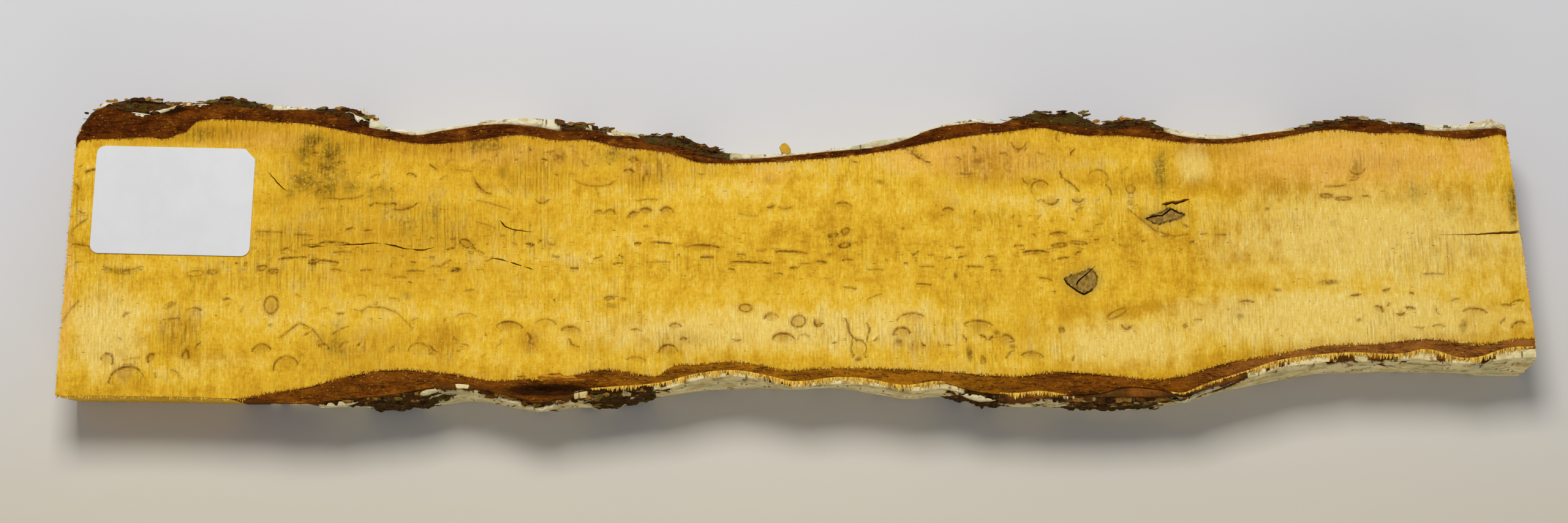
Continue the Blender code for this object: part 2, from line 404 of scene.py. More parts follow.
def cut_cracks(wood):
    """Cuts every crack out of the wood in one Boolean and keeps the result as the wood's mesh."""
    points, faces, count = [], [], 0
    for depth, line in CRACKS:
        some, their_faces = crack_cutter(depth, line)
        points.append(some)
        faces += [[v + count for v in face] for face in their_faces]
        count += len(some)
    cutter = make_object("crack_cutters", np.concatenate(points), faces, SHARP)
    cut = wood.modifiers.new("cracks", "BOOLEAN")
    cut.operation, cut.solver, cut.object = "DIFFERENCE", "MANIFOLD", cutter
    whole = bpy.context.evaluated_depsgraph_get()
    done = bpy.data.meshes.new_from_object(wood.evaluated_get(whole))
    wood.modifiers.clear()
    wood.data = done
    bpy.data.objects.remove(cutter)
    done.materials.clear()
    done.shade_smooth()
    done.set_sharp_from_angle(angle=math.radians(SHARP))


# ---------------------------------------------------------------- the inner bark
INNER_STATIONS = 760
INNER_SINK = 0.18 * MM  # how far the sawn inner bark lies under the wood's face
TUCK = 0.45 * MM  # how far each layer runs in under its neighbour
HOLLOW_UNIT = 3  # millimetres of depth that the hollow attribute counts as 1
# Hollows in the sawn inner bark: X, Y, half-size in X and Y, and depth, all in millimetres.
HOLLOWS = [
    (-128, -74.5, 22, 2.8, 4.5), (-333, 75, 11, 2.6, 4), (150, -78, 11, 2.2, 3.5),
    (-355, 76, 6, 2, 2),
]


def strongest(x, y, zones):
    """The strongest at each (x, y) in millimetres of some soft ovals, each fading as a bell."""
    best = np.zeros(np.broadcast(x, y).shape)
    for zx, zy, reach_x, reach_y, strength in zones:
        bell = strength * np.exp(-(((x - zx) / reach_x) ** 2) - ((y - zy) / reach_y) ** 2)
        best = np.maximum(best, bell)
    return best


def make_inner_bark(side, name, first=0.0):
    """The brown inner bark: a band between the cambium and the rind, sawn at both faces."""
    s = np.linspace(first, 1, INNER_STATIONS)[:, None]
    face_share = np.linspace(0, 1, 10)[None, :]
    down = np.linspace(1, 0, 9)[None, 1:-1]

    def points_at(share, level, sink=0.0):
        """Points at a share of the way out from the cambium to the rind, at a level, sunk under
        the face by that much, by the bark's grain and lumps, and by the hollows."""
        z = level * THICKNESS
        x = along(s, side * END_READ_AT, z)
        inner = bark_line(side, "cambium", x, level) - side * TUCK
        outer = bark_line(side, "rind", x, level) + side * TUCK * 0.5
        outer = np.where(side * (outer - inner) < 0.1 * MM, inner + side * 0.1 * MM, outer)
        y = inner + (outer - inner) * share
        grain = np.abs(noise(x, y, z, 1.6 * MM, 2)) * 0.16 * MM
        wide = ease((np.abs(outer - inner) / MM - 5) / 6)
        lumps = ease(noise(x * 0.7, y, z, 5 * MM, 3) * 1.4 + 0.4) * 0.9 * MM
        lumps = lumps * wide * ease((1 - share) * 20)
        flat = np.where((level > 0.99) | (level < 0.01), 1, 0)
        z = z - np.where(level > 0.5, 1, -1) * (sink + flat * (grain + lumps * (level > 0.5)))
        hollow = strongest(x / MM, y / MM, HOLLOWS) * MM * ease((level - 0.5) * 2)
        z = z - hollow * ease((1 - share) * 12)
        return np.stack([along(s, y, z), y, z + 0 * y], -1)

    top = points_at(face_share, np.ones_like(face_share), INNER_SINK)
    outside = points_at(np.ones_like(down), down)
    under = points_at(face_share[:, ::-2], np.zeros_like(face_share[:, ::-2]), 0.05 * MM)
    inside = points_at(np.zeros_like(down[:, ::2]), down[:, ::-2])
    made = loft(name, np.concatenate([top, outside, under, inside], axis=1), ragged=0.4 * MM)
    points = read_points(made.data)
    # the hollows' depth, which the inner bark's material turns into painted shade
    deep = strongest(points[:, 0] / MM, points[:, 1] / MM, HOLLOWS) / HOLLOW_UNIT
    store(made.data, "hollow", deep * (points[:, 2] > THICKNESS / 2))
    return made


# ---------------------------------------------------------------- the outer bark
SKIN_STATIONS = 940
SKIN_SINK = 0.45 * MM  # how far the top of the outer bark lies under the wood's face
BARE_SINK = 1.6 * MM  # how far its side is sunk where it has come off
CRUST_DROP = 4.0 * MM  # how far a rough lump falls away from the face at its outer edge
# Spans of X where the outer bark is thick, dark and rough.
UPPER_CRUST = [
    (-374, -326), (-313, -276), (-258, -222), (-128, -106), (-84, -44), (110, 192), (262, 327),
]
LOWER_CRUST = [(-226, -186), (-112, -76), (78, 104), (138, 188)]
# Where the outer bark has come off the lower edge: how far up the side it still reaches.
LOWER_TOP = [
    (-384, 0), (-256, 0), (-248, 0.25), (-242, 0.95), (-228, 1.05), (-222, 1.1), (-188, 1.1),
    (-184, 0.9), (-150, 0.75), (-118, 0.8), (-112, 1.1), (78, 1.1), (102, 1.1), (106, 0.55),
    (116, 0.6), (124, 0.9), (134, 0.85), (144, 0.5), (154, 0.55), (164, 0.72), (172, 0.8),
    (180, 0.78), (190, 0.7), (202, 0.45), (214, 0.4), (224, 0.6), (232, 1.1), (384, 1.1),
]


def skin_fields(side, x, level):
    """How much of a place on the outer bark is rough crust, and how much has lost its outer bark.
    Both are 0 to 1, with edges that noise makes ragged."""
    wander = noise(x, level * THICKNESS, side * 3, 8 * MM, 4)
    crust = bands(x + wander * 11 * MM, UPPER_CRUST if side == UPPER else LOWER_CRUST, 6)
    crust = crust * ease(level * 3 + wander * 1.2 + 0.4)
    if side == UPPER:
        return crust, 0 * crust
    reach = np.interp(x / MM + wander * 9, *np.array(LOWER_TOP, float).T)
    bare = ease((level + wander * 0.3 - reach) / 0.06 + 0.5)
    return crust * (1 - bare), bare


def make_skin(side, name, first=0.0):
    """The outer bark: a thin band outside the rind, its side roughened where it is crust and sunk
    where it has come off. Also keeps how much of each point is crust and bare."""
    s = np.linspace(first, 1, SKIN_STATIONS)[:, None]
    over = np.linspace(0, 1, 7)[None, :]
    down = 1 - np.linspace(0, 1, 38)[None, 1:] ** 1.15

    def points_at(share, level):
        """Points at a share of the way out from the rind to the solid's edge, at a level, with
        how much of each is crust and bare."""
        level = level + 0 * s
        z = level * THICKNESS
        x = along(s, side * END_READ_AT, z)
        crust, bare = skin_fields(side, x, level)
        inner = bark_line(side, "rind", x, level) - side * TUCK
        outer = edge(side, x, level)
        rough = noise(x, z, side * 5, 4.5 * MM, 4)
        plates = np.abs(noise(x * 0.6, z, side * 8, 7 * MM, 3))
        jagged = noise(x, z, side * 11, 1.9 * MM, 2)
        swell = crust * (rough * 1.5 + plates * 1.8 + jagged * 0.5 - 0.8) * MM
        paper = noise(x * 0.5, z, side * 2, 9 * MM, 3) * 0.3 * MM
        sunk = bare * BARE_SINK
        outer = outer + side * (swell + paper - sunk)
        outer = np.where(side * (outer - inner) < 0.3 * MM, inner + side * 0.3 * MM, outer)
        y = inner + (outer - inner) * share
        drop = crust * share**1.6 * CRUST_DROP * (0.8 + 0.5 * rough) + share**3 * 0.35 * MM
        near_top = ease((level - 0.72) / 0.28)
        tuck = (1 - share) ** 5 * 1.6 * MM
        z = z - near_top * (drop + tuck + SKIN_SINK + 0.15 * MM * np.abs(rough))
        fields = np.broadcast_arrays(crust, bare)
        return np.stack([along(s, y, z), y, z + 0 * y, *(f + 0 * y for f in fields)], -1)

    top = points_at(over, np.ones_like(over))
    outside = points_at(np.ones_like(down), down)
    under = points_at(over[:, -2::-2], np.zeros_like(over[:, -2::-2]))
    inside = points_at(np.zeros((1, 4)), np.linspace(0.1, 0.9, 4)[None, :])
    rings = np.concatenate([top, outside, under, inside], axis=1)
    made = loft(name, rings[..., :3], ragged=0.5 * MM)
    count = len(CAP_SHARES)
    first, last = np.repeat(rings[:1], count, 0), np.repeat(rings[-1:], count, 0)
    fields = np.concatenate([first, rings, last])
    store(made.data, "crust", fields[..., 3].ravel())
    store(made.data, "bare", fields[..., 4].ravel())
    return made


# ---------------------------------------------------------------- torn fibres, curls and a chip
# Spans of X where the saw left a fringe on the lower rind, with its usual fibre length.
FRINGE = [(-106, -78, 2.4), (-78, 76, 3.2), (104, 138, 2.4), (192, 230, 1.6), (230, 379, 2.9)]
FRINGE_PITCH = 0.6  # millimetres between two fibres
BLADE_STEPS = 5  # sections along each fibre or flake
BLADE_SHARP = 60  # degrees past which their edges are shaded sharp


def make_blades(name, path, sideways, upward, tint):
    """Thin closed blades, one for each row of path (blades, steps, 3): at every step a diamond
    whose corners lie sideways and upward of the path by those offsets. Keeps a tint for each."""
    points = np.stack([path + sideways, path + upward, path - sideways, path - upward], 2)
    count, steps = path.shape[:2]
    corner = np.arange(count * steps * 4).reshape(count, steps, 4)
    quads = quads_between(corner[:, :-1], corner[:, 1:])
    ends = np.concatenate([corner[:, 0, ::-1], corner[:, -1]])
    made = make_object(name, points.reshape(-1, 3), quads.tolist() + ends.tolist(), BLADE_SHARP)
    store(made.data, "tint", np.repeat(tint, steps * 4))
    return made


def make_fringe():
    """Torn fibres side by side along the lower rind: each a flat tapering blade on a bow that runs
    outwards and, past the edge, droops. They are shorter at the ends of each span."""
    chance = np.random.default_rng(23)
    spans = [(np.arange(a, b, FRINGE_PITCH), a, b, usual) for a, b, usual in FRINGE]
    x = np.concatenate([span for span, *_ in spans]) * MM
    usual = [
        tall * (0.4 + 0.6 * ease(np.minimum(span - a, b - span) / 9)) for span, a, b, tall in spans
    ]
    count = len(x)
    x = x + chance.normal(size=count) * 0.15 * MM
    bunch = 1 + 0.5 * noise(x, 0 * x, 0 * x, 5 * MM, 3)
    length = (np.concatenate(usual) * bunch * chance.uniform(0.5, 1.1, count))[:, None] * MM
    half = chance.uniform(0.26, 0.5, count)[:, None] * MM
    lean = (chance.normal(size=count) * 0.16)[:, None]
    lift = chance.uniform(0.0, 0.35, count)[:, None] * MM
    t = np.linspace(0, 1, BLADE_STEPS)[None, :]
    rind = bark_line(LOWER, "rind", x, 1.0)[:, None]
    brink = edge(LOWER, x, 1.0)[:, None]
    px = x[:, None] + lean * length * t
    py = rind + 0.5 * MM - length * t
    past = np.maximum(brink - py, 0)
    pz = THICKNESS - 0.2 * MM + lift * np.sin(np.pi * t) - past * 0.9 - 0.12 * MM * t
    taper = 1 - 0.7 * t**2.2
    sideways = (half * taper)[..., None] * np.array([1, 0, 0])
    upward = (0.2 * MM * taper + 0 * half)[..., None] * np.array([0, 0, 1])
    path = np.stack([px, py, pz], -1)
    return make_blades("saw_fringe", path, sideways, upward, chance.random(count))


def unit(vectors):
    """Each vector at length 1."""
    return vectors / np.linalg.norm(vectors, axis=-1, keepdims=True)


def strewn(name, chance, root, ahead, outward, length, half, thick, bow, blunt):
    """Blades from root points: each runs ahead by its length, bows outwards by its bow's share of
    it, is as wide and thick as half and thick say, and is narrower by blunt's share at its tip."""
    t = np.linspace(0, 1, BLADE_STEPS)[None, :, None]
    ahead = unit(ahead)
    outward = unit(outward - ahead * (outward * ahead).sum(-1, keepdims=True))
    aside = np.cross(outward, ahead)
    reach = length[:, None, None]
    path = root[:, None] + ahead[:, None] * reach * t
    path = path + outward[:, None] * reach * bow[:, None, None] * t**2
    shape = (0.7 + 0.4 * np.sin(np.pi * t[..., 0])) * (1 - blunt * t[..., 0] ** 3)
    width = half[:, None] * shape * (1 + 0.3 * chance.uniform(-1, 1, (len(root), BLADE_STEPS)))
    sideways = aside[:, None] * width[..., None]
    upward = outward[:, None] * (thick[:, None] * (1 - 0.6 * t[..., 0]))[..., None]
    return make_blades(name, path, sideways, upward, chance.random(len(root)))


# Spans of X along which flakes of bark stand off each edge, with how many there are.
FLAKES = [
    (UPPER, -374, -322, 46), (UPPER, -322, -270, 48), (UPPER, -262, -222, 40),
    (UPPER, -128, -100, 26), (UPPER, -86, -38, 46), (UPPER, 110, 194, 80), (UPPER, 262, 330, 54),
    (UPPER, 350, 366, 10), (LOWER, -240, -182, 60), (LOWER, -160, -100, 44), (LOWER, -112, -70, 50),
    (LOWER, 74, 108, 36), (LOWER, 120, 192, 76), (LOWER, 296, 312, 14),
]


def edge_many(side, x, level):
    """edge() for points on both edges: side is an array of UPPER and LOWER."""
    return np.where(side == UPPER, edge(UPPER, x, level), edge(LOWER, x, level))


def make_flakes():
    """Loose flakes of bark: thin uneven plates that lie along the trunk and lift at one end."""
    chance = np.random.default_rng(31)
    side = np.concatenate([np.full(n, s) for s, _, _, n in FLAKES])
    x = np.concatenate([chance.uniform(a, b, n) for _, a, b, n in FLAKES]) * MM
    count = len(x)
    level = 1 - 0.55 * chance.random(count) ** 1.8
    y = edge_many(side, x, level) - side * 0.5 * MM
    z = level * THICKNESS - 0.6 * MM - 2.0 * MM * (level > 0.93) * chance.random(count)
    top = ease((level - 0.8) / 0.2)
    zero = 0 * x
    outward = np.column_stack([zero, side * (1 - 0.5 * top), 0.2 + 0.9 * top])
    along_x = np.where(chance.random(count) < 0.5, 1, -1)
    turned_out = side * chance.uniform(-0.1, 0.14, count)
    ahead = np.column_stack([along_x, turned_out, chance.normal(size=count) * 0.15])
    length, half = chance.uniform(1.6, 6.5, count) * MM, chance.uniform(0.5, 1.5, count) * MM
    thick, bow = chance.uniform(0.2, 0.5, count) * MM, chance.uniform(0.0, 0.14, count)
    root = np.column_stack([x, y, z])
    return strewn("loose_flakes", chance, root, ahead, outward, length, half, thick, bow, 0.35)


# Tufts on the upper bark: X and height.
TUFTS = [(-270, 2), (-227, 4.5), (-166, 2.4), (-60, 2.4), (18, 2), (170, 3.2), (232, 2.4), (364, 3)]


def make_fuzz():
    """Short torn fibres: along the bare lower arris, both sawn ends and the lower cambium, and in
    tufts on the upper bark."""
    chance = np.random.default_rng(37)
    columns = np.column_stack
    rows = []

    def row(place, direction, short, long, wide):
        """Adds fibres, with their lengths from short to long and half widths up to wide."""
        count = len(place)
        length = chance.uniform(short, long, count)
        rows.append([place, direction, length, chance.uniform(0.6, 1, count) * wide])

    def swing(count, share):
        """Random sideways leans, most of them under that share."""
        return chance.normal(size=count) * share

    n = 170
    x = chance.uniform(-380, BARE_UNTIL + 4, n) * MM
    arris = columns([x, edge(LOWER, x, 1.0) + 0.2 * MM, 0 * x + THICKNESS - 0.3 * MM])
    row(arris, columns([swing(n, 0.4), 0 * x - 1, chance.uniform(-0.9, 0.2, n)]), 0.5, 2.2, 0.24)
    n = 120
    for end, way, lowest in ((0.0, -1, -70), (1.0, 1, -52)):
        y = chance.uniform(lowest, 58, n) * MM
        z = 0 * y + THICKNESS - 0.25 * MM
        sawn_end = columns([along(end, y, z) - way * 0.3 * MM, y, z])
        direction = columns([0 * y + way, swing(n, 0.5), chance.uniform(-0.6, 0.2, n)])
        row(sawn_end, direction, 0.5, 1.7, 0.22)
    n = 260
    x = chance.uniform(BARE_UNTIL + 3, 376, n) * MM
    y = bark_line(LOWER, "cambium", x, 1.0) + 0.3 * MM
    direction = columns([swing(n, 0.5), 0 * x - 1, chance.uniform(-0.1, 0.1, n)])
    row(columns([x, y, 0 * x + THICKNESS - 0.1 * MM]), direction, 0.3, 1.4, 0.24)
    n = 6
    for at, tall in TUFTS:
        x = at * MM + swing(n, 0.8) * MM
        z = THICKNESS - chance.uniform(0.4, 3, n) * MM
        direction = columns([swing(n, 0.5), 0 * x + 1, chance.uniform(-0.1, 0.5, n)])
        row(columns([x, edge(UPPER, x, 1.0) - 0.4 * MM, z]), direction, tall * 0.4, tall, 0.2)
    root, ahead, length, half = (np.concatenate(parts) for parts in zip(*rows))
    outward = np.zeros_like(root) + np.array([0, 0, 1.0])
    bow = chance.uniform(-0.15, 0.2, len(root))
    length, half = length * MM, half * MM
    return strewn("saw_fuzz", chance, root, ahead, outward, length, half, half * 0.6, bow, 0.7)


# A flap of orange inner bark over the hollow on the lower edge, told as the curls are, then how
# ragged it is and the two Y that its axis runs between.
FLAP = (LOWER, -146, -100, 0, 0.6, 2.4, -20, 110, 0.12, (-66.6, -68.8))
FLAP_INDEX = 40  # sets where its ragged lip wanders


# Curled strips of papery bark: side, X from and to, how far outside the rind their axis is, how
# far under the face, radius, and the degrees where they start and end.
CURLS = [
    (UPPER, -352, -338, -0.4, 0.8, 1.3, -70, 150), (UPPER, -341, -322, 1.4, 1.0, 1.2, -60, 130),
    (UPPER, -324, -306, -0.2, 0.9, 1.4, -60, 150), (UPPER, -368, -358, 1.2, 1.2, 1.2, -60, 120),
    (UPPER, -272, -256, 0.8, 1.2, 1.5, -60, 150), (UPPER, -240, -224, 2.6, 0.8, 2.0, -80, 160),
    (UPPER, -222, -196, 1.2, 1.0, 1.3, -80, 120), (UPPER, -166, -134, 1.6, 1.2, 1.6, -80, 130),
    (UPPER, -104, -86, 1.2, 1.0, 1.4, -80, 140), (UPPER, 20, 52, 1.0, 1.1, 1.3, -80, 110),
    (UPPER, 78, 104, 1.2, 1.2, 1.3, -80, 120), (UPPER, 204, 226, 1.2, 0.9, 1.2, -80, 130),
    (UPPER, 334, 352, 1.8, 1.0, 1.7, -80, 150), (UPPER, 356, 371, 2.2, 0.8, 2.1, -80, 170),
    (LOWER, -246, -226, 1.4, 2.4, 1.8, -80, 140), (LOWER, -196, -184, 1.6, 2.0, 1.7, -60, 180),
    (LOWER, -154, -134, 2.4, 4.6, 1.8, -70, 170), (LOWER, -136, -119, 2.6, 4.2, 1.9, -70, 180),
    (LOWER, 84, 102, 2.6, 3.0, 1.8, -60, 150), (LOWER, 122, 138, 2.4, 3.6, 1.9, -60, 160),
    (LOWER, 160, 182, 2.8, 4.0, 2.0, -60, 150), (LOWER, 190, 226, 2.0, 5.4, 1.7, -80, 130),
    (LOWER, 346, 366, 2.6, 3.2, 1.6, -60, 120),
]


CURL_THICKNESS = 0.32 * MM
CURL_POINTS = 15  # across the sheet, on each of its sides


def make_curl(
    name, index, side, x_from, x_to, out, down, radius, start, stop, ragged=0.5, line=None
):
    """A thin sheet rolled about an axis along X: at each station an arc out and the same arc back,
    a sheet's thickness inside it. Its lip and radius wander, so that it looks torn. The axis
    follows the rind, or runs straight between the two Y of line."""
    u = np.linspace(x_from, x_to, max(14, round((x_to - x_from) * 1.4)))[:, None] * MM
    share = (u - u[0]) / (u[-1] - u[0])
    wander = noise(u, index * 7 * MM, 0 * u, 4 * MM, 3)
    swell = np.sin(np.pi * np.clip(share + 0.12 * wander, 0.01, 0.99)) ** 0.6
    body = (0.25 + 0.75 * swell) * (1 + 0.3 * wander)
    torn = noise(u, 3 * MM, index * 5 * MM, 2.2 * MM, 3)
    rolled = (0.25 + 0.75 * swell) * (1.1 - ragged / 2 + ragged * torn)
    lip = np.radians(start + (stop - start) * np.clip(rolled, 0.1, 1.2))
    v = np.linspace(0, 1, CURL_POINTS)[None, :]
    angle = np.radians(start) + (lip - np.radians(start)) * v
    sheet = []
    for inset in (0, CURL_THICKNESS * (1 - 0.4 * v)):
        reach = radius * MM * body - inset
        y = side * (reach * np.cos(angle) + out * MM)
        sheet.append(np.stack([u + 0 * v, y, reach * np.sin(angle)], -1))
    ring = np.concatenate([sheet[0], sheet[1][:, ::-1]], axis=1)
    if line is None:
        base = bark_line(side, "rind", u, 1.0)
    else:
        base = np.interp(share, (0, 1), line) * MM
    base = base + side * 0.6 * MM * noise(u, 0, 0, 9 * MM, 2)
    ring[..., 1] += base
    ring[..., 2] += THICKNESS - down * MM - radius * MM * 0.55
    return loft(name, ring, shares=())


# The chip's outline seen from above, as (X, Y).
CHIP = [
    (-9.4, 54.6), (-8, 56.4), (-6.4, 57), (-4.6, 55.6), (-3.4, 53.6), (-3.2, 51.2), (-5.6, 50.8),
    (-8.2, 51.4),
]


# The share of its outline that each level keeps, and the level's height over the figured face in
# millimetres.
CHIP_LEVELS = ((0.55, -0.2), (0.92, -0.5), (1.0, -1.4), (0.94, -3.4), (0.7, -5.8), (0.35, -6.8))


def make_chip():
    """A chip of wood caught on the upper edge: its outline carried down and drawn in unevenly."""
    outline = np.array(CHIP) * MM
    middle = outline.mean(axis=0)
    rings = []
    for scale, depth in CHIP_LEVELS:
        x, y = (middle + (outline - middle) * scale).T
        z = THICKNESS + depth * MM + noise(x, y, depth * MM, 3 * MM, 2) * 0.5 * MM
        rings.append(np.column_stack([x, y, z]))
    return loft("caught_chip", np.array(rings), sharp=25, shares=())


# ---------------------------------------------------------------- figure marks on the sawn face
# Each arc is the X and Y of the middle of its chord, half its length, its rise (minus hangs down),
# its turn in degrees, half the width of its line and how dark it is.
ARCS = [
    (-369, 41, 4, 0.8, 18, 0.35, 0.9), (-372, 1.2, 5, 0.7, -8, 0.3, 0.8),
    (-373, 12, 5, 1, 40, 0.3, 0.6), (-275, 8.4, 8, 0.5, -2, 0.22, 0.6),
    (-257, 6.5, 6, 0.8, -4, 0.25, 0.6), (-240, 2.6, 8, 0.6, -3, 0.35, 1),
    (-262, -5.6, 8, 0.7, 4, 0.3, 0.9), (-245, -7.4, 8, 0.9, -6, 0.3, 0.9),
    (-253, 1.5, 5, 0.4, 2, 0.25, 0.7), (-236, -2.4, 5, 0.6, 0, 0.3, 0.7),
    (-181.5, -8, 3.2, 0.8, 30, 0.4, 0.9), (-180, -0.4, 2.6, 0.3, 14, 0.35, 0.9),
    (-139, 1.8, 2.5, 0.4, -10, 0.4, 1), (-116, -11, 2.6, 0.4, 0, 0.35, 0.8),
    (-83, 2.4, 2.2, 0.3, 0, 0.38, 1), (-71, 2.6, 6.5, 0.4, -3, 0.28, 0.9),
    (-48.7, 0.2, 8.5, 1.5, -2, 0.3, 1), (-47, -5, 4, 0.4, 0, 0.35, 0.9),
    (-72, -7.8, 7, 0.6, 1, 0.2, 0.5), (-24.5, -7.8, 10.5, 0.5, -2, 0.32, 1),
    (-3.5, -2.6, 8.6, 1.0, -3, 0.32, 1), (-2, -10.6, 2.6, 0.3, 4, 0.35, 0.9),
    (-10, -13.8, 3.2, 0.4, -2, 0.3, 0.7), (12.5, -7.5, 3, 0.5, -8, 0.42, 1),
    (25.8, -6.9, 3.2, 1.0, 0, 0.25, 0.8), (4, -8.4, 4, 0.3, 0, 0.2, 0.6),
    (40, -11.5, 5, 0.3, 2, 0.22, 0.6), (67, -10, 4.5, 0.4, 0, 0.25, 0.7),
    (65, -19.5, 4.6, 0.6, -3, 0.22, 0.8), (92, -10, 5, 0.4, -2, 0.28, 0.8),
    (103, -12, 3.4, 0.4, -4, 0.28, 0.8), (123.7, -2.8, 7.2, 1.5, 0, 0.36, 1),
    (128, -17, 4.2, 1.3, -8, 0.25, 0.8), (138, -6, 3.5, 1.0, 10, 0.3, 0.9),
    (220.3, 6.6, 3.6, 0.7, 0, 0.35, 0.8), (204.9, 3.1, 1.8, 0.3, 14, 0.42, 1),
    (199, -0.8, 1.4, 0.2, 0, 0.35, 0.9), (211, 7.4, 2.4, 0.3, 4, 0.2, 0.6),
    (192, 5.5, 3, 0.6, -30, 0.2, 0.6), (329, -14.2, 6, 0.8, 1, 0.3, 0.55),
    (305, -22.5, 2.4, 0.5, 14, 0.35, 0.9), (289, -24, 3.4, -0.8, 8, 0.3, 0.8),
    (27, -21.5, 4, 0.6, -8, 0.22, 0.7), (40, -26, 5, 0.6, 22, 0.2, 0.5),
    (-224, -12, 4, 0.5, 4, 0.25, 0.7), (-198, -12.5, 5, 0.6, 0, 0.22, 0.7),
    (-206, -16, 4, 0.9, 0, 0.22, 0.6), (-162, 12, 6, 0.7, -20, 0.2, 0.5),
    (-356, -60.5, 3.3, 5, -20, 0.55, 0.9), (-345, -70, 9, 7.5, 14, 0.42, 0.9),
    (-332, -58.5, 2.4, 3, 55, 0.5, 0.9), (-315, -59, 1.6, 5.5, 0, 0.4, 0.85),
    (-321, -66.5, 3, 2, -30, 0.25, 0.5), (-343, -59, 5, 0.8, 10, 0.15, 0.4),
    (-276, -55.2, 5, 4.6, 8, 0.35, 0.8), (-263, -63.5, 6.6, 6.5, 12, 0.3, 0.85),
    (-195, -56, 6, 6, -12, 0.28, 0.7), (-171, -37, 5.5, 2.5, 0, 0.18, 0.5),
    (-148.6, -42.6, 7, 3.8, -4, 0.36, 0.95), (-130, -41, 5.6, 3.6, 0, 0.22, 0.55),
    (-117, -44.5, 5, 3, -6, 0.34, 0.9), (-83, -44, 2.8, 1.2, -10, 0.32, 0.9),
    (-66.5, -55.5, 5, 4.6, 6, 0.34, 0.9), (-63, -42, 3.2, 2.2, 0, 0.25, 0.7),
    (-83, -60, 5, 2.6, -6, 0.2, 0.6), (-13.4, -37.5, 3.6, 3, 8, 0.34, 0.8),
    (-7, -49, 6, 4, -4, 0.36, 0.9), (11.4, -38, 2.2, -3.4, -30, 0.5, 1),
    (54, -46, 4.4, 4.2, 4, 0.4, 0.9), (58.5, -38, 7, 3.6, 6, 0.2, 0.7),
    (94, -42, 8.2, 3.6, -6, 0.34, 0.8), (105.3, -50, 6.6, 4.6, -4, 0.36, 0.9),
    (121, -58, 6, 3.2, -6, 0.26, 0.75), (96, -61, 1.2, 4, 10, 0.3, 0.7),
    (232.3, -29, 3.8, 1.2, 0, 0.3, 0.85), (300, -33, 2.6, 2.4, -40, 0.4, 0.9),
    (311.5, -33.6, 2.2, -1.6, 0, 0.28, 0.8), (316.5, -32.6, 2.4, 1.4, 0, 0.3, 0.85),
    (340.5, -27.8, 2.8, 0.9, 14, 0.24, 0.6), (350.2, -34.6, 6.4, 2.8, -4, 0.3, 0.85),
    (366.5, -31, 2.8, 1.2, -4, 0.3, 0.8), (372.5, -29, 3.6, 1.3, 10, 0.3, 0.8),
    (331, -42, 3.2, 1.6, 0, 0.26, 0.7), (372.5, -41.5, 3.8, 2.6, 22, 0.34, 0.8),
    (-312, -34, 4.4, 2.4, 4, 0.26, 0.6), (-323, -37.6, 5, 0.3, 6, 0.15, 0.5),
    (170, -40, 2.6, -2.6, 0, 0.35, 0.8), (137, -45, 1.2, 3.6, 20, 0.45, 0.8),
    (-163.5, 34, 6.6, -2.6, -44, 0.34, 0.9), (-174, 41.2, 5, 0.6, -8, 0.2, 0.5),
    (-158, 22.6, 10, 0.8, -16, 0.2, 0.55), (-105.5, 37, 10.4, -3.8, -2, 0.24, 0.6),
    (-133, 27, 3.6, -3, 0, 0.28, 0.7), (-103, 18, 2.8, 2.2, 0, 0.26, 0.7),
    (-97.5, 18, 2.8, 2.6, -10, 0.34, 0.8), (-85, 17, 3, 2.4, 30, 0.4, 0.8),
    (-79, 19, 3.4, 2.4, 0, 0.32, 0.8), (-68, 18.5, 3.6, 3.4, -6, 0.34, 0.85),
    (-78, 25, 6, 1.2, 4, 0.2, 0.6), (-14, 23.4, 2.2, -1.6, 20, 0.35, 0.8),
    (-6, 23, 3.6, -2, 6, 0.22, 0.6), (-25, 18.6, 5, -1.2, -6, 0.3, 0.4),
    (24, 22.4, 4, 2, -6, 0.28, 0.9), (78.5, 19.4, 3, 2.2, 0, 0.3, 0.85),
    (92.5, 19.6, 2, 0.3, 80, 0.35, 0.8), (65, 49.5, 6.4, -1.6, -32, 0.45, 0.9),
    (88.5, 41, 4, -1.4, 0, 0.3, 0.7), (120.5, 38, 3, -3.4, 0, 0.3, 0.8),
    (116, 58, 4, -5, 0, 0.28, 0.7), (127, 31, 5, 5.4, 30, 0.3, 0.8),
    (132, 27, 4, -3.6, 0, 0.3, 0.85), (143, 33.4, 5.6, 0.8, -40, 0.35, 0.8),
    (146, 27, 3, -2.4, 0, 0.3, 0.8), (157, 37, 5.4, 5, -20, 0.2, 0.55),
    (162, 31, 4, 1, -60, 0.25, 0.6), (135.6, 7, 4.4, 1.6, 4, 0.34, 0.9),
    (292.5, 43, 4, -3.4, 14, 0.26, 0.65), (281, 34, 6, -0.8, 4, 0.26, 0.7),
    (290, 36, 3, 0.5, 8, 0.3, 0.7), (-204, 23.4, 6.4, -2.4, 16, 0.34, 0.85),
    (-216, 24.6, 4.4, -1, -6, 0.34, 0.8), (-183.6, 37, 2.6, 1.4, 20, 0.3, 0.5),
]
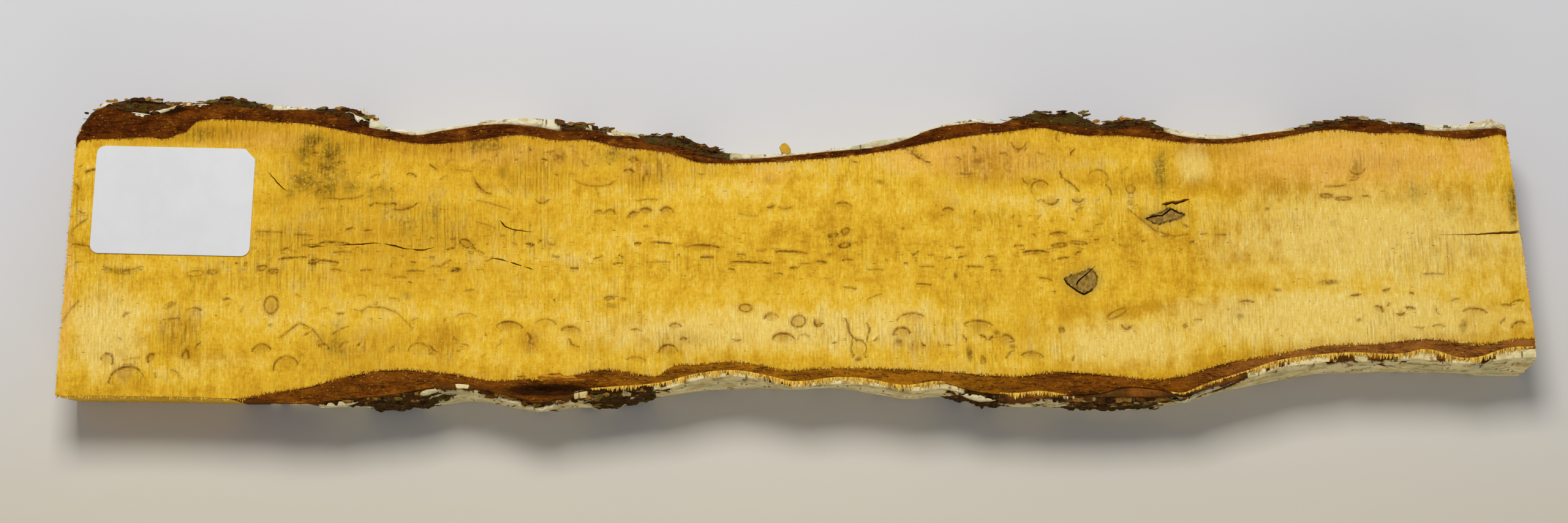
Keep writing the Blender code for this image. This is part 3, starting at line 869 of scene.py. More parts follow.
# Closed outlines: X, Y, half their length and height, turn, half the line's width, darkness.
RINGS = [
    (-277.5, -10.4, 2.8, 1.3, 8, 0.24, 0.8), (-271.5, -12.2, 2.6, 1.2, 0, 0.24, 0.8),
    (-312, -13.4, 4.6, 1.5, 6, 0.22, 0.6), (-303, -12.6, 3, 1.1, 0, 0.22, 0.6),
    (-272, -30, 3.6, 4.6, 0, 0.36, 0.75), (-26.8, -31.6, 3.2, 2, -6, 0.26, 0.8),
    (31.6, -53, 4, 4.6, 0, 0.4, 0.75), (0.6, -38.6, 3.6, 3, 14, 0.34, 0.8),
    (165, -34.6, 5.6, 1.6, 26, 0.32, 0.7), (-172, 2.6, 3.6, 1.8, -24, 0.34, 0.95),
    (173.8, 31.6, 2.2, 2.2, 0, 0.26, 0.65), (276, 28, 3.4, 1, -4, 0.3, 0.75),
    (284.5, 26.6, 4.2, 0.9, 0, 0.3, 0.75), (24.6, 1.6, 3, 1.2, 10, 0.32, 0.95),
    (25, 9, 2.4, 1.4, 40, 0.34, 0.85), (18.6, 7, 2.6, 0.9, 8, 0.3, 0.85),
    (-97, -26.4, 2.8, 0.8, -4, 0.24, 0.7), (136, 1.6, 4, 1, 6, 0.3, 0.8),
    (146, 3, 4.6, 0.8, -6, 0.24, 0.7),
]
# Filled spots: X, Y, half their length and height, turn, darkness.
SPOTS = [
    (-324, -30, 2.4, 1.3, 24, 0.9), (-294, -27.6, 2.6, 1, -20, 0.9),
    (-294.6, -30, 1.2, 0.7, 30, 0.5), (-202, -25, 3.2, 2.2, -10, 0.35),
    (-177, -11.5, 2.3, 1.1, 8, 1.25), (-272, -40.6, 1, 0.8, 0, 0.6), (-154, 40, 2.2, 3, 20, 0.45),
    (-124, 49, 3.4, 3.2, 0, 0.55), (-169, 54, 3, 2.6, 0, 0.45), (52.6, -49.3, 2, 2.1, 0, 0.65),
    (88.6, -55.6, 1.6, 3.4, 6, 0.85), (200.1, -41, 1.2, 1.1, 0, 1),
    (31.5, -58.6, 1.5, 0.9, 10, 0.9), (275.1, -18, 4.6, 1.1, 3, 0.8),
    (173.7, 24.4, 1.5, 1.4, 0, 0.6), (55, 10.6, 0.8, 0.8, 0, 0.8), (43, 35.6, 2, 1, -10, 0.55),
    (-90, -27, 1.4, 0.8, 0, 0.8), (243.5, -22, 0.8, 0.7, 0, 0.8), (248, -22, 1.6, 0.6, 0, 0.7),
    (343.6, -41.4, 1.6, 3, -10, 0.75), (290, -38, 1, 0.8, 0, 0.7), (-15, 37, 2.4, 2.4, 0, 0.3),
    (279, 13.5, 2.4, 1.8, 0, 0.25), (244.7, 21, 1, 0.7, 0, 0.8), (-96, -30.6, 2.8, 1.4, 0, 0.5),
    (82, -14.4, 0.8, 1.6, 0, 0.8), (228.6, -36, 1.6, 1.2, 0, 0.6), (94, 46.4, 3, 1.6, 24, 0.5),
    (191, 29.4, 0.8, 0.8, 0, 0.8), (102.6, -44.4, 1.6, 1.2, -20, 0.7),
    (111.4, -52, 1.4, 1, -10, 0.7), (16.6, -3.4, 1, 0.6, 0, 0.7),
]
# Longer wandering lines: half the line's width, darkness, then the (X, Y) points.
THREADS = [
    (0.24, 0.7, [(-268, -48), (-257, -39.4), (-250, -43), (-245, -49)]),
    (0.26, 0.7, [(-240, -45.4), (-234, -42), (-231, -41)]),
    (0.2, 0.6, [(-226, -34), (-222, -31), (-214, -31.4), (-207, -34), (-198, -43)]),
    (0.2, 0.7, [(-246, 27.2), (-238, 26.2), (-230, 26.8), (-226, 28.6)]),
    (0.3, 0.8, [(-169, 1.4), (-166.5, -1), (-162, -3.2)]),
    (0.4, 0.85, [(24.6, -36.4), (26, -40), (26.6, -44), (28.6, -47), (28, -50)]),
    (0.4, 0.85, [(35.6, -39), (37.4, -42.6), (36.6, -46), (35.4, -49)]),
    (0.4, 0.85, [(-140, -44), (-137.4, -47), (-138, -50), (-134.6, -51.6)]),
    (0.35, 0.75, [(-118, -47), (-116.4, -50.6), (-111.6, -52.6)]),
    (0.3, 0.7, [(172, 21), (179, 15.4), (186, 9.4), (196, 6.4), (204, 7.6)]),
    (0.2, 0.5, [(176, 26), (180, 16), (188, 6.8), (198, 4)]),
    (0.2, 0.5, [(-380, -40), (-376, -33), (-371, -27)]),
    (0.24, 0.6, [(60.6, 55.4), (62, 52.4), (66, 49.4)]),
    (0.3, 0.5, [(-356, -10), (-350, -12.4), (-344, -11), (-339, -9.2)]),
    (0.45, 0.45, [(-361, -9.6), (-356, -11), (-351, -14)]),
    (0.3, 0.6, [(107, -58.6), (109, -56), (110, -53)]),
]
# Places where small marks crowd: X, Y, half-size in X and Y, how many, and how much they curl.
CROWDS = [
    (-285, -7, 45, 7, 20, 0.25), (-185, -3, 52, 13, 62, 0.3), (-95, -3, 38, 9, 24, 0.2),
    (-20, -6, 40, 8, 20, 0.2), (75, -8, 55, 9, 34, 0.25), (175, 3, 40, 10, 16, 0.3),
    (-212, 25, 15, 13, 26, 0.8), (-142, 4, 9, 7, 14, 0.6), (21, 6, 7, 8, 9, 0.7),
    (136, 8, 22, 12, 26, 0.8), (142, 28, 20, 12, 16, 1), (190, 8, 16, 7, 10, 0.6),
    (-250, 42, 16, 18, 20, 1), (-155, 47, 30, 8, 20, 1), (-92, 42, 34, 10, 22, 1),
    (110, 50, 36, 9, 18, 1), (-250, -52, 40, 9, 18, 1), (-175, -48, 30, 12, 24, 1),
    (-330, -50, 28, 16, 10, 1), (-235, -28, 50, 12, 14, 0.8), (70, -48, 60, 8, 12, 1),
    (330, -34, 40, 10, 10, 0.9), (200, -30, 60, 18, 8, 0.8), (-70, -38, 50, 16, 10, 0.9),
    (280, 30, 22, 8, 6, 0.5), (-374, 20, 4, 34, 12, 0.6), (-30, 45, 60, 8, 8, 1),
]


def turned(points, degrees):
    """(X, Y) points turned about the origin."""
    c, s = math.cos(math.radians(degrees)), math.sin(math.radians(degrees))
    return points @ np.array([[c, s], [-s, c]])


def arc_spine(x, y, half, rise, turn, steps=12):
    """A bow over a chord: its height is rise times the sine of the share of a half turn."""
    t = np.linspace(0, np.pi, steps + 1)
    bow = np.column_stack([-half * np.cos(t), rise * np.sin(t)])
    return turned(bow, turn) + (x, y)


def ring_spine(x, y, half_x, half_y, turn, steps=20):
    """A closed ellipse, started at a random-looking place set by where it stands."""
    t = np.linspace(0, 2 * np.pi, steps + 1) + x
    oval = np.column_stack([half_x * np.cos(t), half_y * np.sin(t)])
    return turned(oval, turn) + (x, y)


def crowd_spines():
    """Small seeded marks strewn through the crowded places: dashes along the grain where they curl
    little and hooks and eyebrows at any angle where they curl much. One that would come too near
    an earlier mark is left out."""
    chance = np.random.default_rng(5)
    taken = [row[:2] for row in ARCS + RINGS + SPOTS + KNOTS]
    for x, y, reach_x, reach_y, count, curl in CROWDS:
        for _ in range(count):
            middle = (x + chance.normal() * reach_x * 0.55, y + chance.normal() * reach_y * 0.55)
            half = chance.uniform(1.0, 3.2)
            rise = half * curl * chance.uniform(0.1, 1.0) * chance.choice((-1, 1), p=(0.25, 0.75))
            turn = chance.normal() * (6 + 34 * curl)
            width, dark = chance.uniform(0.14, 0.34), chance.uniform(0.3, 0.95)
            gap = np.abs(np.array(taken) - middle) / (half + 3.6, half * curl + 2.9)
            if gap.max(axis=1).min() > 1:
                taken.append(middle)
                yield arc_spine(*middle, half, rise, turn, 8), width, dark


def all_spines():
    """Every line mark as (points in millimetres, half width, darkness)."""
    yield from crowd_spines()
    for x, y, half, rise, turn, width, dark in ARCS:
        yield arc_spine(x, y, half, rise, turn), width, dark
    for x, y, half_x, half_y, turn, width, dark in RINGS:
        yield ring_spine(x, y, half_x, half_y, turn), width, dark
    for width, dark, points in THREADS:
        yield np.array(points, float), width, dark


MARK_REACH = 2.4  # millimetres from a mark's line at which its trace has faded out
MARK_FADE = 1.3  # and at which it starts to fade
MARKED_ABOVE = 20  # only points higher than this, in millimetres, carry marks: the back has none
SPOT_HALO = 1.6  # millimetres outside a spot within which its trace is kept
UNMARKED = 9  # the distance kept where no mark is near


def line_field(spine, x, y):
    """For each (x, y): its distance to a line of points, minus on the right of its direction, and
    how far along the line, 0 to 1, the nearest point is."""
    start, step = spine[:-1], np.diff(spine, axis=0)
    length = np.maximum(np.hypot(*step.T), 1e-6)
    dx, dy = x[:, None] - start[:, 0], y[:, None] - start[:, 1]
    t = np.clip((dx * step[:, 0] + dy * step[:, 1]) / length**2, 0, 1)
    off_x, off_y = dx - t * step[:, 0], dy - t * step[:, 1]
    far = np.hypot(off_x, off_y)
    best = far.argmin(axis=1)
    row = np.arange(len(x))
    side = np.sign(step[best, 0] * dy[row, best] - step[best, 1] * dx[row, best])
    run = np.concatenate([[0], np.cumsum(length)])
    share = (run[best] + t[row, best] * length[best]) / run[-1]
    return far[row, best] * np.where(side == 0, 1, side), share


def mark_field(points):
    """For each vertex the nearest mark's signed distance, its half width there and its strength, in
    millimetres, so that a material can draw its line finer than the mesh. Widths swell towards the
    middle of a mark, and its strength fades towards both ends and MARK_REACH away."""
    x, y, z = points.T / MM
    field = np.zeros((len(x), 3))
    field[:, 0] = UNMARKED
    for spine, width, dark in all_spines():
        low, high = spine.min(axis=0) - MARK_REACH, spine.max(axis=0) + MARK_REACH
        beside = (x > low[0]) & (x < high[0]) & (y > low[1]) & (y < high[1])
        near = np.flatnonzero(beside & (z > MARKED_ABOVE))
        if not len(near):
            continue
        distance, share = line_field(spine, x[near], y[near])
        swell = np.sin(np.pi * np.clip(share, 0.02, 0.98)) ** 0.5
        fade = 1 - ease((np.abs(distance) - MARK_FADE) / (MARK_REACH - MARK_FADE))
        strength = dark * fade * ((share > 0) & (share < 1))
        wins = np.flatnonzero(strength > field[near, 2] * 0.8)
        field[near[wins]] = np.column_stack([distance, width * swell, strength])[wins]
    for sx, sy, half_x, half_y, turn, dark in SPOTS:
        local = turned(np.column_stack([x - sx, y - sy]), -turn)
        size = min(half_x, half_y)
        reach = np.hypot(local[:, 0] / half_x, local[:, 1] / half_y)
        near = np.flatnonzero((reach < 1 + SPOT_HALO / size) & (z > MARKED_ABOVE))
        field[near] = np.column_stack([reach[near] * size, near * 0 + size, near * 0 + dark])
    return field


# Soft zones of colour: X, Y, half-size in X and Y, strength.
STAINS = [
    (-319, -42, 16, 14, 0.9), (-182, -50, 11, 15, 1), (-206, -52, 9, 10, 0.7),
    (-138, -49, 9, 9, 0.9), (-124, 48, 10, 7, 0.8), (-60, 44, 14, 8, 0.5), (137, -35, 4, 14, 0.6),
    (-228, -45, 14, 12, 0.5), (94, -42, 8, 5, 0.6), (-352, -12, 12, 3, 0.7),
    (-100, -4, 60, 12, 0.25), (20, -30, 5, 12, 0.35), (0, -44, 5, 10, 0.3), (346, -38, 8, 9, 0.5),
    (302, -36, 7, 8, 0.4), (-375, 20, 5, 40, 0.5), (-300, -15, 40, 8, 0.4), (-105, -52, 20, 8, 0.5),
    (-220, 6, 130, 44, 0.62), (-270, -30, 40, 14, 0.35), (-330, 60, 50, 7, 0.7),
    (-215, 52, 40, 10, 0.7), (-130, 50, 50, 14, 0.75), (-60, 42, 40, 10, 0.5),
    (130, 46, 45, 13, 0.6), (-270, 20, 14, 30, 0.5), (-285, 50, 8, 14, 0.5), (300, 46, 60, 8, 0.5),
    (-250, 42, 32, 26, 0.85), (-190, 56, 70, 10, 0.95), (-78, 44, 22, 13, 0.95),
    (98, 44, 28, 15, 0.95), (-140, 36, 26, 16, 0.6), (76, 24, 16, 14, 0.55),
    (-225, -52, 36, 16, 0.75), (-60, -48, 26, 10, 0.5), (62, -52, 22, 12, 0.6),
    (118, -44, 16, 14, 0.55), (-300, 62, 30, 8, 0.8), (220, 52, 30, 7, 0.7),
]
MOULD = [
    (-258, 50, 8, 11, 0.62), (-257, 36, 9, 8, 0.8), (-246, 46, 8, 12, 0.74), (-246, 32, 7, 8, 0.72),
    (-265, 29, 5, 5, 0.6), (-253, 58, 9, 5, 0.7), (-240, 52, 4, 8, 0.6), (-237, 40, 4, 5, 0.5),
    (-232, 34, 8, 6, 0.5), (-268, 22, 8, 10, 0.3), (190, 42, 6, 17, 0.6), (373, 24, 3, 12, 0.9),
    (322, 30, 10, 12, 0.4), (340, 22, 9, 8, 0.35), (-96, 50, 12, 7, 0.5), (-160, 55, 16, 5, 0.5),
    (-216, 30, 14, 10, 0.4), (-240, -50, 8, 14, 0.45), (-190, 15, 20, 16, 0.3),
    (-350, -12, 10, 3, 0.5), (290, 42, 8, 6, 0.3), (-310, 62, 16, 4, 0.5),
]
PALE = [
    (280, -38, 115, 20, 1), (207, 46, 12, 16, 0.9), (-356, -44, 24, 30, 0.95),
    (200, -45, 50, 16, 0.6), (376, 10, 4, 40, 0.8), (60, -52, 50, 10, 0.5), (-150, -60, 20, 6, 0.5),
    (300, 6, 112, 40, 0.82), (170, -50, 60, 18, 0.8), (230, 0, 40, 30, 0.6),
    (-300, -60, 40, 10, 0.5), (-160, 30, 40, 14, 0.2), (-95, 10, 60, 14, 0.2),
    (-20, -44, 140, 16, 0.8), (60, 10, 50, 12, 0.2), (-290, -50, 30, 20, 0.35),
    (360, -20, 24, 40, 0.5),
]
BLUSH = [
    (290, 48, 95, 20, 0.85), (90, 48, 60, 13, 0.8), (354, 50, 14, 14, 1), (150, -8, 12, 8, 0.3),
    (-15, 38, 20, 10, 0.6), (-150, 50, 60, 10, 0.6), (-280, 58, 40, 8, 0.6),
    (190, 10, 40, 14, 0.35), (-378, -30, 4, 60, 0.7), (379, -20, 3, 50, 0.6), (-80, 42, 30, 8, 0.4),
]
# Knots: their middles, and their outlines the way that a clock's hands go.
KNOTS = [(147.5, -16.6), (192.5, 17.4)]
KNOT_OUTLINES = [
    [(138.2, -16.4), (142.2, -13.8), (147, -13), (151.5, -10.4), (154.8, -13), (155.6, -17.7),
     (153.4, -21.4), (148.3, -24.4), (144.8, -22.6), (140.6, -19.6), (138.2, -16.4)],
    [(181.3, 16), (188.3, 19), (194, 21.6), (197.1, 20), (201.7, 18), (199.4, 15.8),
     (193.8, 14.4), (188.1, 12.8), (184.2, 14), (181.3, 16)],
]


WIDE_RISE = 1.4  # millimetres past which an arch has a shade under it
KNOT_REACH = 26  # millimetres from a knot's middle within which its field is worked out
FAR_OUTSIDE = -20.0  # the knot field away from all knots
RIM_REACH = 20  # millimetres from the bark at which the rim field stops growing
CRACK_UNDER = (0.25 * MM, 14 * MM)  # how far under the face the walls of the cracks lie
CRACK_INSIDE = 2 * MM  # they are at least this far in from the bark
CRACK_ENDS = 375 * MM  # and no farther than this from the middle, along X


def inside_outline(x, y, outline):
    """True where a closed outline goes round (x, y): a line sent along +X crosses it an odd number
    of times."""
    inside = np.zeros(len(x), bool)
    for (x0, y0), (x1, y1) in zip(outline[:-1], outline[1:]):
        spans = (y0 > y) != (y1 > y)
        inside ^= spans & (x < x0 + (x1 - x0) * (y - y0) / (y1 - y0 + 1e-9))
    return inside


def knot_field(points):
    """Millimetres inside the nearest knot's outline: over 0 inside it and under 0 outside."""
    x, y = points[:, 0] / MM, points[:, 1] / MM
    best = np.full(len(x), FAR_OUTSIDE)
    for outline in KNOT_OUTLINES:
        spine = np.array(outline)
        middle_x, middle_y = spine[:, 0].mean(), spine[:, 1].mean()
        near = np.flatnonzero(np.hypot(x - middle_x, y - middle_y) < KNOT_REACH)
        far = np.abs(line_field(spine, x[near], y[near])[0])
        best[near] = np.where(inside_outline(x[near], y[near], outline), far, -far)
    return best


def arch_shades():
    """A soft zone under each wide arch, where the figure wood is darker."""
    for x, y, half, rise, _, _, dark in ARCS:
        if abs(rise) > WIDE_RISE:
            yield x, y + rise * 0.45, half * 0.95, abs(rise) * 0.8 + 0.8, dark * 0.62
    for x, y, half_x, half_y, _, _, dark in RINGS:
        yield x, y, half_x * 1.1, half_y * 1.1 + 0.4, dark * 0.6


def rim_field(points):
    """Millimetres from each point to the nearer bark, across the board, up to RIM_REACH."""
    x, y, z = points.T
    level = z / THICKNESS
    upper = bark_line(UPPER, "cambium", x, level) - y
    lower = y - bark_line(LOWER, "cambium", x, level)
    lower = np.where(x / MM < BARE_UNTIL, RIM_REACH * MM, lower)
    return np.clip(np.minimum(upper, lower) / MM, 0, RIM_REACH)


def crack_wall_shade_field(points):
    """1 on the walls of the cracks, where the wood's material paints shade near black: under the
    face, in from the bark and no farther out along X than CRACK_ENDS. The upper side of the slanted
    right end lies nearer than that, so part of that sawn end is caught too, by mistake."""
    x, y, z = points.T
    upper, lower = (bark_line(side, "cambium", x, 1.0) for side in (UPPER, LOWER))
    inside = np.minimum(upper - y, y - lower)
    under = (z < THICKNESS - CRACK_UNDER[0]) & (z > THICKNESS - CRACK_UNDER[1])
    return ((inside > CRACK_INSIDE) & under & (np.abs(x) < CRACK_ENDS)).astype(float)


def store_wood_fields(mesh):
    """Keeps on the wood what its material needs: marks, knots and soft zones of colour."""
    points = read_points(mesh)
    store(mesh, "mark", mark_field(points))
    store(mesh, "knot", knot_field(points))
    store(mesh, "crack", crack_wall_shade_field(points))
    store(mesh, "rim", rim_field(points))
    zones = {"figure": arch_shades(), "stain": STAINS, "mould": MOULD, "pale": PALE, "blush": BLUSH}
    for name, ovals in zones.items():
        store(mesh, name, strongest(points[:, 0] / MM, points[:, 1] / MM, ovals))


# ---------------------------------------------------------------- ways to build finishes
class Finish:
    """Short calls that add nodes to one node tree. An input that is a socket is joined, and any
    other is set as its value."""

    def __init__(self, tree):
        self.tree = tree

    def put(self, socket, value):
        """Joins a socket to an input, or sets the input's own value."""
        if isinstance(value, bpy.types.NodeSocket):
            self.tree.links.new(value, socket)
        elif socket.type == "RGBA":
            socket.default_value = (*value, 1)
        else:
            socket.default_value = value

    def add(self, kind, inputs, **settings):
        """A new node with its settings, and its inputs by name or number."""
        node = self.tree.nodes.new("ShaderNode" + kind)
        for name, value in settings.items():
            setattr(node, name, value)
        for key, value in inputs.items():
            self.put(node.inputs[key], value)
        return node

    def calc(self, operation, *values):
        """The result of one math node."""
        return self.add("Math", dict(enumerate(values)), operation=operation).outputs[0]

    def sum(self, a, b):
        return self.calc("ADD", a, b)

    def less(self, a, b):
        return self.calc("SUBTRACT", a, b)

    def times(self, a, b):
        return self.calc("MULTIPLY", a, b)

    def over(self, a, b):
        return self.calc("DIVIDE", a, b)

    def most(self, a, b):
        """The larger of the two."""
        return self.calc("MAXIMUM", a, b)

    def size(self, a):
        """The value without its sign."""
        return self.calc("ABSOLUTE", a)

    def wave(self, a):
        """Sine of a turn for each whole number, from -1 to 1."""
        return self.calc("SINE", self.times(a, math.tau))

    def rise(self, value, low, high):
        """0 at low and 1 at high, eased between them; low may be the larger of the two."""
        made = self.add("MapRange", {0: value, 1: low, 2: high}, interpolation_type="SMOOTHSTEP")
        return made.outputs[0]

    def mix(self, share, a, b, blend="MIX"):
        """Colour a with a share of colour b blended over it."""
        made = self.add("Mix", {0: share, 6: a, 7: b}, data_type="RGBA", blend_type=blend)
        return made.outputs[2]

    def lay(self, colour, tint, mask, share):
        """The colour with a tint laid over it by a mask's share."""
        return self.mix(self.times(mask, share), colour, tint)

    def shade(self, colour, by, mask, share):
        """The colour multiplied by another by a mask's share."""
        return self.lay(colour, self.mix(1.0, colour, by, "MULTIPLY"), mask, share)

    def stretch(self, place, x, y, z):
        """The place multiplied by a number of its own along each axis."""
        made = self.add("VectorMath", {0: place, 1: (x, y, z)}, operation="MULTIPLY")
        return made.outputs[0]

    def scaled(self, place, scale):
        return self.add("VectorMath", {0: place, "Scale": scale}, operation="SCALE").outputs[0]

    def split(self, vector):
        return self.add("SeparateXYZ", {0: vector}).outputs

    def join(self, x, y, z):
        return self.add("CombineXYZ", {0: x, 1: y, 2: z}).outputs[0]

    def noise(self, place, detail=2.0, roughness=0.5):
        """Soft noise with features one unit of place wide, from about 0.25 to 0.75."""
        inputs = {"Vector": place, "Scale": 1.0, "Detail": detail, "Roughness": roughness}
        return self.add("TexNoise", inputs).outputs[0]

    def cells(self, place, feature="F1"):
        """Voronoi cells one unit of place wide: (distance, a random colour for each cell)."""
        return self.add("TexVoronoi", {"Vector": place, "Scale": 1.0}, feature=feature).outputs

    def attribute(self, name):
        """(vector, number) of a mesh attribute."""
        node = self.add("Attribute", {}, attribute_name=name)
        return node.outputs["Vector"], node.outputs["Fac"]

    def use(self, group, **inputs):
        """A node group with inputs given by name, with _ for a space."""
        node = self.tree.nodes.new("ShaderNodeGroup")
        node.node_tree = group
        for name, value in inputs.items():
            self.put(node.inputs[name.replace("_", " ")], value)
        return node.outputs

    def millimetres(self):
        """The place on the piece in millimetres."""
        return self.stretch(self.add("TexCoord", {}).outputs["Object"], 1000, 1000, 1000)


def new_effect(name, numbers, outputs):
    """A node group that takes Place in millimetres and named numbers with their usual values, and
    gives masks: (group, Finish to fill it with, its inputs, its outputs)."""
    group = bpy.data.node_groups.new(name, "ShaderNodeTree")
    group.interface.new_socket("Place", in_out="INPUT", socket_type="NodeSocketVector")
    for key, usual in numbers.items():
        socket = group.interface.new_socket(key, in_out="INPUT", socket_type="NodeSocketFloat")
        socket.default_value = usual
    for key in outputs:
        group.interface.new_socket(key, in_out="OUTPUT", socket_type="NodeSocketFloat")
    start, end = group.nodes.new("NodeGroupInput"), group.nodes.new("NodeGroupOutput")
    return group, Finish(group), start.outputs, end.inputs


def saw_marks_effect():
    """Lines across the grain that the band saw left. Groove is 1 in thin scratches about a
    Pitch apart, each strong for part of its length, which the wood's material darkens partly as
    painted shade in the grooves; Ridge is the softer rise between them; Patch says where on the
    piece they show most."""
    outputs = ("Groove", "Ridge", "Patch")
    group, f, given, out = new_effect("saw_marks", {"Pitch": 1.9}, outputs)
    place = given["Place"]
    x, y = f.split(place)[:2]
    drift = f.times(f.noise(f.stretch(place, 0.012, 0.004, 0.01), 2), 6)
    lean = f.sum(f.sum(x, f.times(y, 0.02)), drift)
    turns = f.over(lean, given["Pitch"])
    line = f.noise(f.join(f.times(turns, 0.95), f.times(y, 0.004), 0.0), 3, 0.75)
    even = f.rise(f.wave(turns), 0.4, 1.0)
    scratch = f.rise(f.size(f.less(line, 0.5)), 0.03, 0.0)
    lives = f.rise(f.noise(f.join(f.times(turns, 0.8), f.times(y, 0.08), 5.0), 3), 0.38, 0.62)
    patch = f.rise(f.noise(f.stretch(place, 0.02, 0.03, 0.03), 3), 0.42, 0.62)
    evenly = f.times(even, f.sum(f.times(patch, 0.6), 0.4))
    f.put(out["Groove"], f.times(f.most(f.times(scratch, patch), evenly), lives))
    f.put(out["Ridge"], f.times(f.rise(f.wave(f.sum(turns, 0.45)), 0.5, 1.0), lives))
    f.put(out["Patch"], patch)
    return group


def fibres_effect():
    """Fine fibres along X: Shade runs from 0 to 1, in threads Width millimetres wide."""
    group, f, given, out = new_effect("fibres", {"Width": 0.5}, ("Shade",))
    x, y, z = f.split(given["Place"])
    thin = [f.over(v, given["Width"]) for v in (y, z)]
    thread = f.noise(f.join(f.times(x, 0.09), *thin), 3, 0.6)
    f.put(out["Shade"], f.rise(thread, 0.28, 0.72))
    return group


def specks_effect():
    """Small round specks, at most Size millimetres across, in a share Amount of the cells."""
    group, f, given, out = new_effect("specks", {"Size": 0.6, "Amount": 0.3}, ("Mask",))
    distance, colour = f.cells(f.scaled(given["Place"], f.over(0.6, given["Size"])))[:2]
    pick = f.split(colour)[0]
    reach = f.times(f.rise(pick, f.less(1.0, given["Amount"]), 1.0), 0.42)
    f.put(out["Mask"], f.rise(f.less(reach, distance), 0.0, 0.1))
    return group


def blotches_effect():
    """Patches about Size millimetres wide with crumbled edges that cover a share given by Cover."""
    group, f, given, out = new_effect("blotches", {"Size": 10.0, "Cover": 0.5}, ("Mask",))
    made = f.scaled(given["Place"], f.over(1.0, given["Size"]))
    edge_at = f.less(0.72, f.times(given["Cover"], 0.44))
    f.put(out["Mask"], f.rise(f.less(f.noise(made, 5, 0.62), edge_at), -0.03, 0.05))
    return group


SAW_MARKS = saw_marks_effect()
FIBRES = fibres_effect()
SPECKS = specks_effect()
BLOTCHES = blotches_effect()


def new_finish(name, specular):
    """A new material: the Finish to build it with, and the place on its piece in millimetres."""
    material = bpy.data.materials.new(name)
    material.use_nodes = True
    f = Finish(material.node_tree)
    f.material = material
    f.shader = material.node_tree.nodes["Principled BSDF"]
    f.shader.inputs["Specular IOR Level"].default_value = specular
    return f, f.millimetres()


def finish_with(f, colour, roughness, height):
    """Gives the shader its colour, its roughness and a bump from a height in millimetres, and
    returns the material."""
    bump = f.add("Bump", {"Strength": 1.0, "Distance": MM, "Height": height})
    f.put(f.shader.inputs["Base Color"], colour)
    f.put(f.shader.inputs["Roughness"], roughness)
    f.put(f.shader.inputs["Normal"], bump.outputs[0])
    return f.material


# ---------------------------------------------------------------- the finishes
GOLD = (0.86, 0.53, 0.03)
OCHRE = (0.70, 0.38, 0.014)
STRAW = (0.92, 0.68, 0.17)
AMBER = (0.50, 0.23, 0.006)
OLIVE = (0.36, 0.20, 0.004)
PINK = (0.88, 0.46, 0.10)
MARK_BROWN = (0.11, 0.034, 0.001)
CREAM = (0.92, 0.72, 0.28)
HEART_Z = 33.0  # height in millimetres of the log's heart, which the rings on the sawn ends go round
END_ZONE = (365, 368)  # millimetres from the middle between which the sawn ends' colour starts


